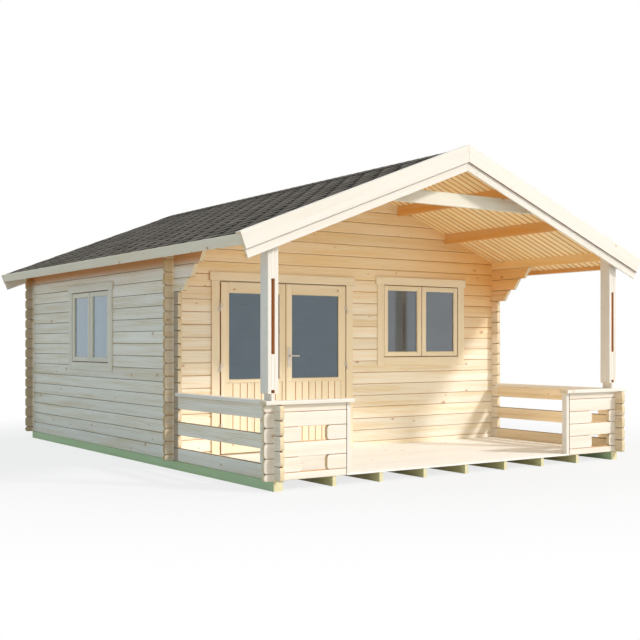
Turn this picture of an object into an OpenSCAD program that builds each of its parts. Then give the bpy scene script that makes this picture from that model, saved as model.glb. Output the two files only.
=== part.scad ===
// Allotment log cabin with a gabled roof and an open front veranda.
// Millimetres, +Z up, the front faces -Y, the ground is at z = 0.
// Every piece is drawn with y = 0 on the outer face of the front wall,
// then placed() moves the whole cabin so that the origin is under its middle.

/* [Logs] */
// visible height of one wall log
log_h = 140; // [100:1:180]
// thickness of the wall logs
log_t = 45; // [28:1:70]
// length of the crossing log ends beyond the wall face
log_end = 105; // [60:1:200]
// bevel on the long edges of the logs
log_bevel = 6; // [2:0.5:10]
// length of the rounding on the free log ends
round_l = 26; // [10:1:40]
// height of the rounding on the free log ends
round_h = 36; // [10:1:50]

/* [Cabin] */
// width over the outer faces of the side walls
cabin_w = 4730; // [3600:10:6000]
// depth over the outer faces of the front and back walls
cabin_d = 4557; // [3000:10:6000]
// number of full logs in a side wall below the wall plate
side_rows = 16; // [15:1:19]
// height of the wall plate at its outer face
plate_h = 84; // [60:1:160]

/* [Base] */
// height of the bearers and joists
bearer_h = 95; // [50:1:150]
// width of the two corner bearers
bearer_w = 100; // [70:1:150]
// width of a floor joist
joist_w = 45; // [35:1:80]
// number of floor joists between the bearers
joist_n = 7; // [5:1:11]
// spacing of the floor joists
joist_gap = 562; // [300:1:570]
// thickness of the floor and deck boards
board_t = 20; // [16:1:32]
// room left between the floor boards and the walls
floor_gap = 3; // [1:0.5:10]

/* [Veranda] */
// depth from the front wall to the front face of the railing
veranda_d = 2052; // [1400:1:3000]
// number of log rows in the railing
rail_rows = 5; // [5:2:7]
// length of the solid block in the side railing at the front corner
rail_block = 355; // [260:1:500]
// length of each front railing panel from the side wall plane to its free end
rail_len = 821; // [650:1:1100]
// distance of the panel openings from the outer end of the log ends, left panel
hole_off = 400; // [330:1:450]
// length of the openings in the front panels
hole_l = 298; // [150:1:350]
// extra offset of the openings in the right panel, which is the same panel unturned
hole_shift = 20; // [0:1:60]
// thickness of the end trim boards
trim_t = 45; // [20:1:60]
// width of the end trim boards
trim_w = 68; // [50:1:120]
// thickness of the cap boards
cap_t = 36; // [20:1:50]
// width of the cap boards
cap_w = 120; // [90:1:160]
// overhang of the front cap past the end trim
cap_over = 22; // [0:1:40]

/* [Corbels] */
// reach of the longest corbel log beyond the front wall
corbel_reach = 680; // [500:1:900]
// set-back from one corbel log to the next
corbel_step = 183; // [120:1:240]
// slant of each corbel end
corbel_cut = 100; // [40:1:130]

/* [Posts] */
// thickness of the two cheeks of a post
cheek_t = 35; // [25:1:60]
// depth of a post from front to back
post_d = 136; // [90:1:180]
// gap between the post and the front railing
post_gap = 8; // [2:1:30]
// height of the cheek ends over the cap boards
foot_h = 64; // [30:1:120]
// height of the small slot over the foot
slot_low_h = 35; // [15:1:80]
// length of the solid middle below the long slot
post_mid = 330; // [200:1:450]
// length of the long slot
slot_l = 696; // [400:1:800]
// height of the cheek tops over the underside of the wall plate
cheek_up = 62; // [20:1:75]
// lap of the cheeks over the foot block
cheek_lap = 5; // [2:1:15]

/* [Roof] */
// pitch of the roof
pitch = 21.3; // [17:0.1:25]
// thickness of the roof boards
roof_t = 19; // [15:1:28]
// thickness of the roofing with its underlay
shingle_t = 32; // [6:1:45]
// room between one roof layer and the next
lay_gap = 0.3; // [0.1:0.1:0.4]
// slope length of the roof boards
slope_l = 2845; // [2700:1:3200]
// thickness of the fascias and bargeboards
barge_t = 20; // [16:1:30]
// width of the eave fascias
fascia_w = 104; // [80:1:160]
// top of the eave fascias over the underside of the roof boards
fascia_up = 52; // [40:1:75]
// overhang of the roof boards behind the back wall
back_over = 393; // [200:1:600]
// distance of the front bargeboard face in front of the railing face
front_over = 33; // [20:1:60]
// top of the bargeboards over the underside of the roof boards
barge_up = 80; // [60:1:100]
// width of the upper front bargeboards
barge_w = 169; // [130:1:200]
// width of the lower front trim boards
lower_w = 145; // [110:1:160]
// part of the lower trim boards that shows
lower_show = 84; // [50:1:100]
// extra slope length of the bargeboards
barge_over = 65; // [30:1:90]
// width of the battens along the roof edge behind the upper front bargeboards
batten_w = 70; // [40:1:110]
// width of the upper back bargeboards
back_w = 139; // [100:1:180]
// top of the back bargeboards over the underside of the roof boards
back_up = 50; // [20:1:60]
// width of the purlins
purlin_w = 45; // [35:1:70]
// height of the purlins at the upper edge
purlin_h = 122; // [90:1:160]
// distance of the inner purlins from the middle
purlin_in = 714; // [500:1:850]
// distance of the outer purlins from the middle
purlin_out = 1490; // [1200:1:1700]
// side room of a purlin in its wall notch
notch_gap = 0.5; // [0.2:0.1:0.9]
// height of the collar tie
tie_h = 140; // [100:1:200]
// thickness of the collar tie
tie_t = 35; // [25:1:60]
// distance of the collar tie behind the front ends of the purlins
tie_back = 150; // [0:5:400]

/* [Door] */
// left edge of the doorway
door_x = -1855; // [-1900:1:-1700]
// width of the doorway in the wall
door_w = 1814; // [1500:1:1900]
// half rows from the log bottoms to the top of the doorway and front window
head_half_rows = 29; // [27:2:29]
// thickness of the door frame
jamb_t = 45; // [35:1:60]
// height of the door frame head
head_t = 70; // [40:1:80]
// height of the threshold
sill_t = 30; // [22:1:40]
// room left round each door leaf
leaf_gap = 8; // [6:0.5:12]
// thickness of a door leaf
leaf_t = 40; // [34:1:50]
// distance of the leaf face in front of the wall face
leaf_out = 24; // [22:1:40]
// width of the stile on the hinge side
stile_hinge = 105; // [80:1:130]
// width of the stile at the middle of the doorway
stile_meet = 79; // [70:1:130]
// height of the top rail of a leaf
top_rail = 122; // [80:1:160]
// height of the bottom rail of a leaf
bottom_rail = 75; // [60:1:160]
// height of the glass above the foot of the leaf
glass_up = 819; // [700:1:1000]
// height of the lock rail under the glass
lock_rail = 58; // [40:1:120]
// depth of the panel recess
panel_in = 10; // [4:1:14]
// thickness of the panes
pane_t = 6; // [4:1:10]
// thickness of the stop behind the leaves
stop_t = 23; // [15:1:24]
// width of the stop behind the leaves
stop_w = 20; // [16:1:25]

/* [Door fittings] */
// radius of the hinge barrels
barrel_r = 7; // [5:0.5:9]
// length of the hinge barrels, lower half on the frame and upper half on the leaf
barrel_l = 90; // [60:1:120]
// distance of the hinge axis in front of the leaf face
hinge_out = 12.5; // [12:0.5:16]
// radius of the hinge pins
pin_r = 3; // [2:0.5:4]
// radial room of the hinge pins in the leaf barrels
pin_gap = 0.05; // [0.02:0.01:0.1]
// room between the two halves of a hinge barrel
barrel_gap = 1; // [0.5:0.1:2]
// lap of the hinge knuckles past the barrel
knuckle_lap = 2; // [1:0.5:3]
// width of the hinge plates on the leaf
hinge_plate_w = 30; // [20:1:45]
// thickness of the hinge plates on the leaf
hinge_plate_t = 4; // [2.5:0.5:5]
// height of the lever above the foot of the leaf
lever_up = 1082; // [900:1:1150]
// distance of the lever axis from the free edge of the leaf
lever_in = 38; // [30:1:60]
// length of the lever
lever_l = 112; // [100:1:150]
// radius of the lever
lever_r = 9; // [6:0.5:11]
// reach of the lever in front of the leaf
lever_out = 58; // [45:1:70]
// width of the lock plates
plate_w = 40; // [30:1:60]
// height of the lock plates
plate_l = 230; // [160:1:260]
// thickness of the lock plates
plate_t = 8; // [5:1:12]
// radial room of the spindle in the lock plates
spindle_gap = 0.05; // [0.02:0.01:0.1]
// radial room of the spindle in the leaf
bore_gap = 2; // [1:0.5:4]

/* [Casings] */
// width of the casing boards
casing_w = 100; // [70:1:120]
// thickness of the casing boards
casing_t = 18; // [12:1:18]
// height of the head casings
head_casing_h = 98; // [80:1:130]
// thickness of the head casings
head_casing_t = 24; // [18:1:30]
// overhang of the head casings past the side casings
head_over = 25; // [0:1:40]

/* [Windows] */
// width of a window opening
win_w = 1300; // [900:10:1400]
// height of a window opening in half log rows
win_half_rows = 14; // [10:1:16]
// left edge of the front window opening
win_x = 450; // [250:1:700]
// distance of the side windows behind the front wall face
win_y = 1705; // [800:1:2200]
// half rows from the log bottoms to the foot of the side windows
side_win_foot = 14; // [12:1:14]
// thickness of the window frame round the sashes
win_frame = 42; // [30:1:60]
// width of the sash stiles and rails
sash_w = 65; // [50:1:95]
// distance of the sash face in front of the wall face
sash_out = 10; // [2:1:16]
// thickness of the sashes
sash_t = 45; // [35:1:55]
// width of the joint between the two sashes
sash_joint = 12; // [6:1:20]
// depth of the joint between the two sashes
sash_groove = 12; // [4:1:20]

/* [Hidden] */
// overshoot of cuts and lap of joined blocks
cut = 1;
// turn from one point of a log end's rounding to the next
round_step = 30;
// largest part of a row that one rounding takes
round_share = 0.4;
// points closer than this count as one
same = 0.01;
half_w = cabin_w / 2;
in_x = half_w - log_t;
log_z = bearer_h;
wall_top = log_z + side_rows * log_h;
eave_z = wall_top + plate_h;
ridge_z = eave_z + half_w * tan(pitch);
front_face = -veranda_d;
rail_back = front_face + log_t;
rail_mid = front_face + log_t / 2;
barge_y = front_face - front_over;
roof_y0 = barge_y + barge_t;
beam_y0 = roof_y0 + barge_t;
roof_y1 = cabin_d + back_over;
beam_y1 = roof_y1 - barge_t;
low_y = front_face - log_end;
high_y = roof_y1 + barge_t;
mid_y = (low_y + high_y) / 2;
rail_top = log_z + rail_rows * log_h;
cap_top = rail_top + cap_t;
deck_top = log_z + board_t;
rail_end = in_x - rail_len + trim_t;
post_y0 = rail_back + post_gap;
post_y1 = post_y0 + post_d;
foot_top = cap_top + foot_h;
mid_low = foot_top + slot_low_h;
slot_low = mid_low + post_mid;
slot_top = slot_low + slot_l;
split_z = log_z + head_half_rows * log_h / 2;
win_h = win_half_rows * log_h / 2;
front_win_z = split_z - win_h;
side_win_z = log_z + side_win_foot * log_h / 2;
tie_top = roof_z(purlin_in) - purlin_h;
door_x1 = door_x + door_w;
leaf_w = (door_w - 2 * jamb_t - 3 * leaf_gap) / 2;
leaf_z0 = log_z + sill_t + leaf_gap;
leaf_z1 = split_z - head_t - leaf_gap;
leaf_y0 = -leaf_out;
leaf_y1 = leaf_y0 + leaf_t;
leaf_left = door_x + jamb_t + leaf_gap;
leaf_right = door_x1 - jamb_t - leaf_gap;
glass_z0 = leaf_z0 + glass_up;
glass_z1 = leaf_z1 - top_rail;
panel_z1 = glass_z0 - lock_rail;
hinge_y = leaf_y0 - hinge_out;
lever_x = leaf_right - leaf_w + lever_in;
lever_z = leaf_z0 + lever_up;
glass_y = (leaf_y0 + leaf_y1 - pane_t) / 2;
sash_mid_y = -sash_out + (sash_t - pane_t) / 2;
sash_z0 = win_frame;
pane_w = (win_w - 2 * win_frame - sash_joint) / 2 - 2 * sash_w;
pane_h = win_h - 2 * win_frame - 2 * sash_w;
board_n = lay_gap + roof_t;
shingle_n = board_n + lay_gap;
shingle_top = shingle_n + shingle_t;
batten_n = max(fascia_up, shingle_top) + lay_gap;
lower_n = barge_up - barge_w - lower_show;
side_edges = row_edges(log_z, wall_top, 0);
rail_edges = row_edges(log_z, rail_top, 0);

// height of the roof underside at distance x from the middle
function roof_z(x) = ridge_z - abs(x) * tan(pitch);

// point on the right slope, s down the slope and n off the roof underside
function slope_x(s, n) = s * cos(pitch) + n * sin(pitch);
function slope_z(s, n) = ridge_z - s * sin(pitch) + n * cos(pitch);

// heights of the row edges of a log stack, whose joints lie lower by part of a row
function row_edges(z0, z1, lower) = concat([z0],
    [for (row = [1 : ceil((z1 - log_z) / log_h)])
        let (z = log_z + (row - lower) * log_h)
            if (z > z0 + 2 * log_bevel && z < z1 - 2 * log_bevel) z],
    [z1]);

// the same for the cross walls, which start with half a log
function cross_edges(z0, z1) = row_edges(z0, z1, 0.5);

// section of a log stack, thickness along the first axis, each row bevelled
function log_section(edges) = let (n = len(edges) - 1) concat(
    [for (i = [0 : n - 1]) each [
        [log_bevel, edges[i]], [0, edges[i] + log_bevel], [0, edges[i + 1] - log_bevel]]],
    [[log_bevel, edges[n]]],
    [for (i = [n - 1 : -1 : 0]) each [
        [log_t - log_bevel, edges[i + 1]],
        [log_t, edges[i + 1] - log_bevel], [log_t, edges[i] + log_bevel]]],
    [[log_t - log_bevel, edges[0]]]);

// rounded end of one row at u, facing out, from its lower to its upper edge
function round_end(u, out, z0, z1) = let (h = min(round_h, round_share * (z1 - z0))) concat(
    [for (a = [0 : round_step : 90]) [u - out * round_l * (1 - sin(a)), z0 + h * (1 - cos(a))]],
    [for (a = [90 : -round_step : 0]) [u - out * round_l * (1 - sin(a)), z1 - h * (1 - cos(a))]]);

// rounded ends of a stack
function stack_end(u, out, edges) =
    [for (i = [0 : len(edges) - 2]) each round_end(u, out, edges[i], edges[i + 1])];

// front ends of a side wall below its corbels, square where a rail goes on
function wall_end(edges) = [for (i = [0 : len(edges) - 2])
    each i < rail_rows && i % 2 == 0
        ? [[-log_end, edges[i]], [-log_end, edges[i + 1]]]
        : round_end(-log_end, -1, edges[i], edges[i + 1])];

// first rows of a stack, the points in reverse, and the points without repeats
function lowest(edges, n) = [for (i = [0 : n]) edges[i]];
function reversed(points) = [for (i = [len(points) - 1 : -1 : 0]) points[i]];
function clean(points) = [for (i = [0 : len(points) - 1])
    if (norm(points[i] - points[(i + 1) % len(points)]) > same) points[i]];

// moves a piece from the wall frame to the shared frame
module placed() {
    translate([0, -mid_y, 0]) children();
}

// block between two corners
module block(x0, x1, y0, y1, z0, z1) {
    translate([x0, y0, z0]) cube([x1 - x0, y1 - y0, z1 - z0]);
}

// outline in x and z, drawn out along y
module along_y(y0, y1) {
    translate([0, y1, 0]) rotate([90, 0, 0]) linear_extrude(y1 - y0) children();
}

// outline in y and z, drawn out along x
module along_x(x0, x1) {
    translate([x0, 0, 0]) rotate([90, 0, 90]) linear_extrude(x1 - x0) children();
}

// the piece and its mirror image on the other side of the cabin
module both_sides() {
    children();
    mirror([1, 0, 0]) children();
}

// right roof layer, cut upright at the ridge and square at the eave
module slope_slab(s1, n0, n1, y0, y1) {
    along_y(y0, y1) polygon([
        [0, ridge_z + n0 / cos(pitch)],
        [slope_x(s1, n0), slope_z(s1, n0)],
        [slope_x(s1, n1), slope_z(s1, n1)],
        [0, ridge_z + n1 / cos(pitch)]]);
}

// stack of logs along y in the right side wall
module side_logs(y0, y1, edges) {
    along_y(y0, y1) translate([in_x, 0]) polygon(log_section(edges));
}

// stack of logs along x whose front face is at y0
module cross_logs(x0, x1, y0, edges) {
    along_x(x0, x1) translate([y0, 0]) polygon(log_section(edges));
}

// log ends of a cross wall outside the right side wall
module end_stub(y0, z0, z1) {
    edges = cross_edges(z0, z1);
    intersection() {
        cross_logs(half_w, half_w + log_end, y0, edges);
        along_y(y0 - cut, y0 + log_t + cut) polygon(clean(concat(
            [[half_w - cut, z0]], stack_end(half_w + log_end, 1, edges), [[half_w - cut, z1]])));
    }
}

// notches for the purlins through a gable
module purlin_notches(y0) {
    block(-purlin_w / 2 - notch_gap, purlin_w / 2 + notch_gap, y0 - cut, y0 + log_t + cut,
        ridge_z - purlin_h, ridge_z + cut);
    both_sides() {
        purlin_notch(purlin_in, y0);
        purlin_notch(purlin_out, y0);
    }
}

module purlin_notch(x0, y0) {
    block(x0 - notch_gap, x0 + purlin_w + notch_gap, y0 - cut, y0 + log_t + cut,
        roof_z(x0) - purlin_h, ridge_z + cut);
}

// gable between the side walls from height z0 to the roof
module gable(y0, z0) {
    difference() {
        intersection() {
            cross_logs(-in_x, in_x, y0, cross_edges(z0, ridge_z + log_h));
            along_y(y0 - cut, y0 + log_t + cut) polygon([
                [-half_w, z0 - cut], [half_w, z0 - cut], [half_w, roof_z(half_w)],
                [0, ridge_z], [-half_w, roof_z(half_w)]]);
        }
        purlin_notches(y0);
    }
}

// right side wall with its corbels and window opening
module side_wall() {
    corbel_z1 = wall_top - log_h;
    corbel_z2 = wall_top - 2 * log_h;
    corbel_z3 = wall_top - 3 * log_h;
    c1 = -corbel_reach;
    c2 = c1 + corbel_step;
    c3 = c2 + corbel_step;
    outline = concat(
        wall_end(lowest(side_edges, side_rows - 3)),
        [[c3 + corbel_cut, corbel_z3], [c3, corbel_z2], [c2 + corbel_cut, corbel_z2],
            [c2, corbel_z1], [c1 + corbel_cut, corbel_z1], [c1, wall_top]],
        reversed(stack_end(cabin_d + log_end, 1, side_edges)));
    difference() {
        intersection() {
            side_logs(c1 - cut, cabin_d + log_end + cut, side_edges);
            along_x(in_x - cut, half_w + cut) polygon(clean(outline));
        }
        block(in_x - cut, half_w + cut, win_y, win_y + win_w, side_win_z, side_win_z + win_h);
    }
}

// right side railing, three log rails joined by the block at the front corner
module side_rails() {
    outline = concat(
        stack_end(low_y, -1, rail_edges),
        [[-log_end, rail_top], [-log_end, log_z]]);
    difference() {
        intersection() {
            side_logs(low_y - cut, -log_end + cut, rail_edges);
            along_x(in_x - cut, half_w + cut) polygon(clean(outline));
        }
        for (row = [1 : 2 : rail_rows - 2])
            block(in_x - cut, half_w + cut, low_y + rail_block, -log_end + cut,
                log_z + row * log_h, log_z + (row + 1) * log_h);
    }
}

// front railing panel from x0 to x1, with two openings from hole_x between rounded log ends
module front_rail(x0, x1, hole_x) {
    difference() {
        cross_logs(x0, x1, front_face, cross_edges(log_z, rail_top));
        for (row = [0.5 : 2 : rail_rows - 2])
            let (z0 = log_z + row * log_h, z1 = z0 + log_h)
                along_y(front_face - cut, rail_back + cut) polygon(concat(
                    round_end(hole_x, 1, z0, z1),
                    reversed(round_end(hole_x + hole_l, -1, z0, z1))));
    }
}

// right post, two cheeks round a core with two slots
module post() {
    block(in_x - cheek_t, in_x, post_y0, post_y1, foot_top, wall_top + cheek_up);
    block(half_w, half_w + cheek_t, post_y0, post_y1, foot_top, wall_top + cheek_up);
    block(in_x, half_w, post_y0, post_y1, cap_top, foot_top + cheek_lap);
    block(in_x, half_w, post_y0, post_y1, mid_low, slot_low);
    block(in_x, half_w, post_y0, post_y1, slot_top, wall_top);
}

// right purlin whose upper edge is at distance x0 from the middle
module purlin(x0) {
    along_y(beam_y0, beam_y1) polygon([
        [x0, roof_z(x0) - purlin_h], [x0 + purlin_w, roof_z(x0) - purlin_h],
        [x0 + purlin_w, roof_z(x0 + purlin_w)], [x0, roof_z(x0)]]);
}

// door leaf drawn with its hinge edge at x = 0 and its width along +x
module leaf() {
    difference() {
        block(0, leaf_w, leaf_y0, leaf_y1, leaf_z0, leaf_z1);
        block(stile_hinge, leaf_w - stile_meet, leaf_y0 - cut, leaf_y1 + cut, glass_z0, glass_z1);
        block(stile_hinge, leaf_w - stile_meet, leaf_y0 - cut, leaf_y0 + panel_in,
            leaf_z0 + bottom_rail, panel_z1);
        block(stile_hinge, leaf_w - stile_meet, leaf_y1 - panel_in, leaf_y1 + cut,
            leaf_z0 + bottom_rail, panel_z1);
    }
}

// pane of a leaf drawn like the leaf
module leaf_glass() {
    block(stile_hinge, leaf_w - stile_meet, glass_y, glass_y + pane_t, glass_z0, glass_z1);
}

// puts a hinge drawn on the hinge axis at its three heights, as seen from the leaf
module at_hinges() {
    for (up = [0.15, 0.5, 0.85])
        translate([-leaf_gap / 2, hinge_y, leaf_z0 + up * (leaf_z1 - leaf_z0)]) children();
}

// upper half of the three hinges of a leaf, drawn like the leaf
module leaf_hinges() {
    at_hinges() difference() {
        union() {
            translate([0, 0, barrel_gap]) cylinder(r = barrel_r, h = barrel_l / 2, $fn = 32);
            block(0, barrel_r + knuckle_lap, 0, hinge_out, barrel_gap, barrel_gap + barrel_l / 2);
            block(0, hinge_plate_w, hinge_out - hinge_plate_t, hinge_out,
                barrel_gap, barrel_gap + barrel_l / 2);
        }
        cylinder(r = pin_r + pin_gap, h = barrel_l, $fn = 32);
    }
}

// lower half of the three hinges with their pins, drawn like the leaf
module frame_hinges() {
    reach = -casing_t - hinge_y;
    at_hinges() {
        translate([0, 0, -barrel_l / 2]) cylinder(r = barrel_r, h = barrel_l / 2, $fn = 32);
        block(-barrel_r - knuckle_lap, -knuckle_lap, 0, reach, -barrel_l / 2, 0);
        block(-hinge_plate_w, -knuckle_lap - leaf_gap / 2, reach - hinge_plate_t, reach,
            -barrel_l / 2, 0);
        translate([0, 0, -barrel_l / 4]) cylinder(r = pin_r, h = barrel_l * 0.75, $fn = 32);
    }
}

// window frame with its pair of sashes, left foot of the opening at the origin
module window_frame() {
    half = win_w / 2;
    difference() {
        union() {
            block(0, win_w, 0, log_t, 0, win_h);
            block(win_frame, win_w - win_frame, -sash_out, -sash_out + sash_t,
                sash_z0, win_h - win_frame);
        }
        for (x0 = [win_frame + sash_w, half + sash_joint / 2 + sash_w])
            block(x0, x0 + pane_w, -sash_out - cut, log_t + cut,
                sash_z0 + sash_w, sash_z0 + sash_w + pane_h);
        block(half - sash_joint / 2, half + sash_joint / 2, -sash_out - cut, sash_groove - sash_out,
            sash_z0 - cut, win_h - win_frame + cut);
    }
}

// panes of one window
module window_glass() {
    for (x0 = [win_frame + sash_w, win_w / 2 + sash_joint / 2 + sash_w])
        translate([x0, sash_mid_y, sash_z0 + sash_w]) cube([pane_w, pane_t, pane_h]);
}

// casing boards round a window, drawn like its frame
module window_casing() {
    x0 = win_frame - casing_w;
    x1 = win_w - win_frame + casing_w;
    z0 = win_frame - casing_w;
    top = win_h - win_frame;
    difference() {
        block(x0, x1, -casing_t, 0, z0, top);
        block(win_frame, win_w - win_frame, -casing_t - cut, cut, sash_z0, top + cut);
    }
    block(x0 - head_over, x1 + head_over, -head_casing_t, 0, top, top + head_casing_h);
}

// turns a window drawn at the origin into the right side wall
module in_side_wall() {
    translate([half_w, win_y, side_win_z]) rotate([0, 0, 90]) children();
}

module corner_bearers() color("#8a9a5b") placed()
    both_sides() block(half_w - bearer_w, half_w, beam_y0, cabin_d, 0, bearer_h);

module floor_joists() color("#93a266") placed()
    for (i = [0 : joist_n - 1])
        let (x = (i - (joist_n - 1) / 2) * joist_gap)
            block(x - joist_w / 2, x + joist_w / 2, beam_y0, cabin_d, 0, bearer_h);

module cabin_floor() color("#e6c79a") placed()
    block(-in_x + floor_gap, in_x - floor_gap, log_t + floor_gap, cabin_d - log_t - floor_gap,
        log_z, deck_top);

module veranda_deck() color("#ecd0a4") placed() {
    block(-in_x + floor_gap, in_x - floor_gap, rail_back, -floor_gap, log_z, deck_top);
    block(-rail_end, rail_end, front_face, rail_back + cut, log_z, deck_top);
}

module left_wall() color("#e3c08f") placed()
    mirror([1, 0, 0]) side_wall();

module right_wall() color("#e3c08f") placed()
    side_wall();

module back_wall() color("#e3c08f") placed() {
    gable(cabin_d - log_t, log_z);
    both_sides() end_stub(cabin_d - log_t, log_z, wall_top);
}

module front_wall_left() color("#e8c795") placed() {
    cross_logs(-in_x, door_x, 0, cross_edges(log_z, split_z));
    mirror([1, 0, 0]) end_stub(0, log_z, split_z);
}

module front_wall_right() color("#e8c795") placed() {
    difference() {
        cross_logs(door_x1, in_x, 0, cross_edges(log_z, split_z));
        block(win_x, win_x + win_w, -cut, log_t + cut, front_win_z, split_z + cut);
    }
    end_stub(0, log_z, split_z);
}

module front_gable() color("#e8c795") placed() {
    gable(0, split_z);
    both_sides() end_stub(0, split_z, wall_top);
}

module wall_plates() color("#dcb47f") placed()
    both_sides() along_y(beam_y0, beam_y1) polygon([
        [in_x, wall_top], [half_w, wall_top], [half_w, eave_z], [in_x, roof_z(in_x)]]);

module ridge_purlin() color("#d9ad73") placed()
    along_y(beam_y0, beam_y1) polygon([
        [-purlin_w / 2, ridge_z - purlin_h], [purlin_w / 2, ridge_z - purlin_h],
        [purlin_w / 2, roof_z(purlin_w / 2)], [0, ridge_z],
        [-purlin_w / 2, roof_z(purlin_w / 2)]]);

module mid_purlins() color("#d9ad73") placed()
    both_sides() {
        purlin(purlin_in);
        purlin(purlin_out);
    }

module roof_boards_left() color("#e2b377") placed()
    mirror([1, 0, 0]) slope_slab(slope_l, lay_gap, board_n, roof_y0, roof_y1);

module roof_boards_right() color("#e2b377") placed()
    slope_slab(slope_l, lay_gap, board_n, roof_y0, roof_y1);

module shingles_left() color("#4c4744") placed()
    mirror([1, 0, 0])
        slope_slab(slope_l, shingle_n, shingle_top, roof_y0, roof_y1);

module shingles_right() color("#4c4744") placed()
    slope_slab(slope_l, shingle_n, shingle_top, roof_y0, roof_y1);

module eave_fascias() color("#ead6b4") placed()
    both_sides() along_y(beam_y0, beam_y1) polygon([
        for (corner = [[lay_gap, fascia_up], [barge_t, fascia_up],
                [barge_t, fascia_up - fascia_w], [lay_gap, fascia_up - fascia_w]])
            [slope_x(slope_l + corner[0], corner[1]), slope_z(slope_l + corner[0], corner[1])]]);

module front_bargeboards() color("#f0dfc0") placed()
    both_sides() {
        slope_slab(slope_l + barge_over, barge_up - barge_w, barge_up, barge_y, roof_y0);
        slope_slab(slope_l + barge_over, batten_n, barge_up, roof_y0 - cut, roof_y0 + batten_w);
    }

module front_trim_boards() color("#eed9b4") placed()
    both_sides() slope_slab(slope_l + barge_over, lower_n, lower_n + lower_w, roof_y0, beam_y0);

module back_bargeboards() color("#ead6b4") placed()
    both_sides() {
        slope_slab(slope_l + barge_t, back_up - back_w, back_up, roof_y1, high_y);
        slope_slab(slope_l + barge_t, back_up - back_w, lower_n + lower_w, roof_y1 - cut, roof_y1 + cut);
        slope_slab(slope_l + barge_t, lower_n, lower_n + lower_w, beam_y1, roof_y1);
    }

module collar_tie() color("#eedcc0") placed()
    along_y(beam_y0 + tie_back, beam_y0 + tie_back + tie_t) polygon([
        [-(ridge_z - tie_top + tie_h) / tan(pitch), tie_top - tie_h],
        [(ridge_z - tie_top + tie_h) / tan(pitch), tie_top - tie_h],
        [(ridge_z - tie_top) / tan(pitch), tie_top],
        [-(ridge_z - tie_top) / tan(pitch), tie_top]]);

module left_post() color("#efdcbb") placed()
    mirror([1, 0, 0]) post();

module right_post() color("#efdcbb") placed()
    post();

module left_side_rails() color("#e3c08f") placed()
    mirror([1, 0, 0]) side_rails();

module right_side_rails() color("#e3c08f") placed()
    side_rails();

module left_front_rail() color("#ecd0a4") placed() {
    front_rail(-in_x, -rail_end, -half_w - log_end + hole_off);
    mirror([1, 0, 0]) end_stub(front_face, log_z, rail_top);
}

module right_front_rail() color("#ecd0a4") placed() {
    front_rail(rail_end, in_x, rail_end - trim_t + hole_off + hole_shift);
    end_stub(front_face, log_z, rail_top);
}

module rail_caps() color("#f0dfc0") placed()
    both_sides() {
        block(rail_end - trim_t - cap_over, half_w + log_end, rail_mid - cap_w / 2,
            rail_mid + cap_w / 2, rail_top, cap_top);
        block(in_x + log_t / 2 - cap_w / 2, in_x + log_t / 2 + cap_w / 2,
            rail_mid + cap_w / 2 - cut, -log_end, rail_top, cap_top);
    }

module rail_end_trims() color("#f0dfc0") placed()
    both_sides() block(rail_end - trim_t, rail_end, front_face, front_face + trim_w,
        deck_top, rail_top);

module door_frame() color("#e9cfa3") placed() {
    difference() {
        block(door_x, door_x1, 0, log_t, log_z, split_z);
        block(door_x + jamb_t, door_x1 - jamb_t, -cut, log_t - stop_t,
            log_z + sill_t, split_z - head_t);
        block(door_x + jamb_t + stop_w, door_x1 - jamb_t - stop_w, -cut, log_t + cut,
            log_z + sill_t, split_z - head_t - stop_w);
    }
}

module door_casing() color("#eed8b0") placed() {
    x0 = door_x + jamb_t - casing_w;
    x1 = door_x1 - jamb_t + casing_w;
    top = split_z - head_t;
    block(x0, door_x + jamb_t, -casing_t, 0, deck_top, top + cut);
    block(door_x1 - jamb_t, x1, -casing_t, 0, deck_top, top + cut);
    block(x0 - head_over, x1 + head_over, -head_casing_t, 0, top, top + head_casing_h);
}

module door_left_leaf() color("#ecd3a8") placed()
    translate([leaf_left, 0, 0]) leaf();

module door_right_leaf() color("#ecd3a8") placed()
    difference() {
        translate([leaf_right, 0, 0]) mirror([1, 0, 0]) leaf();
        translate([lever_x, leaf_y0 - cut, lever_z]) rotate([-90, 0, 0])
            cylinder(r = lever_r + bore_gap, h = leaf_t + 2 * cut, $fn = 32);
    }

module door_left_glass() color("#9fb0b6") placed()
    translate([leaf_left, 0, 0]) leaf_glass();

module door_right_glass() color("#9fb0b6") placed()
    translate([leaf_right, 0, 0]) mirror([1, 0, 0]) leaf_glass();

module door_left_hinges() color("#b9bcbe") placed()
    translate([leaf_left, 0, 0]) leaf_hinges();

module door_right_hinges() color("#b9bcbe") placed()
    translate([leaf_right, 0, 0]) mirror([1, 0, 0]) leaf_hinges();

module hinge_pins() color("#aeb1b3") placed() {
    translate([leaf_left, 0, 0]) frame_hinges();
    translate([leaf_right, 0, 0]) mirror([1, 0, 0]) frame_hinges();
}

module lock_plates() color("#c4c7c9") placed()
    difference() {
        for (y0 = [leaf_y0 - plate_t, leaf_y1])
            block(lever_x - plate_w / 2, lever_x + plate_w / 2, y0, y0 + plate_t,
                lever_z - plate_l * 0.58, lever_z + plate_l * 0.42);
        translate([lever_x, leaf_y0 - plate_t - cut, lever_z]) rotate([-90, 0, 0])
            cylinder(r = lever_r + spindle_gap, h = leaf_t + 2 * plate_t + 2 * cut, $fn = 32);
    }

module door_lever() color("#cdd0d2") placed() {
    translate([lever_x, leaf_y0 - lever_out, lever_z]) rotate([-90, 0, 0])
        cylinder(r = lever_r, h = leaf_t + 2 * lever_out, $fn = 32);
    for (y0 = [leaf_y0 - lever_out, leaf_y1 + lever_out - 2 * lever_r])
        translate([lever_x, y0 + lever_r, lever_z]) rotate([0, 90, 0])
            cylinder(r = lever_r, h = lever_l, $fn = 32);
}

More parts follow.
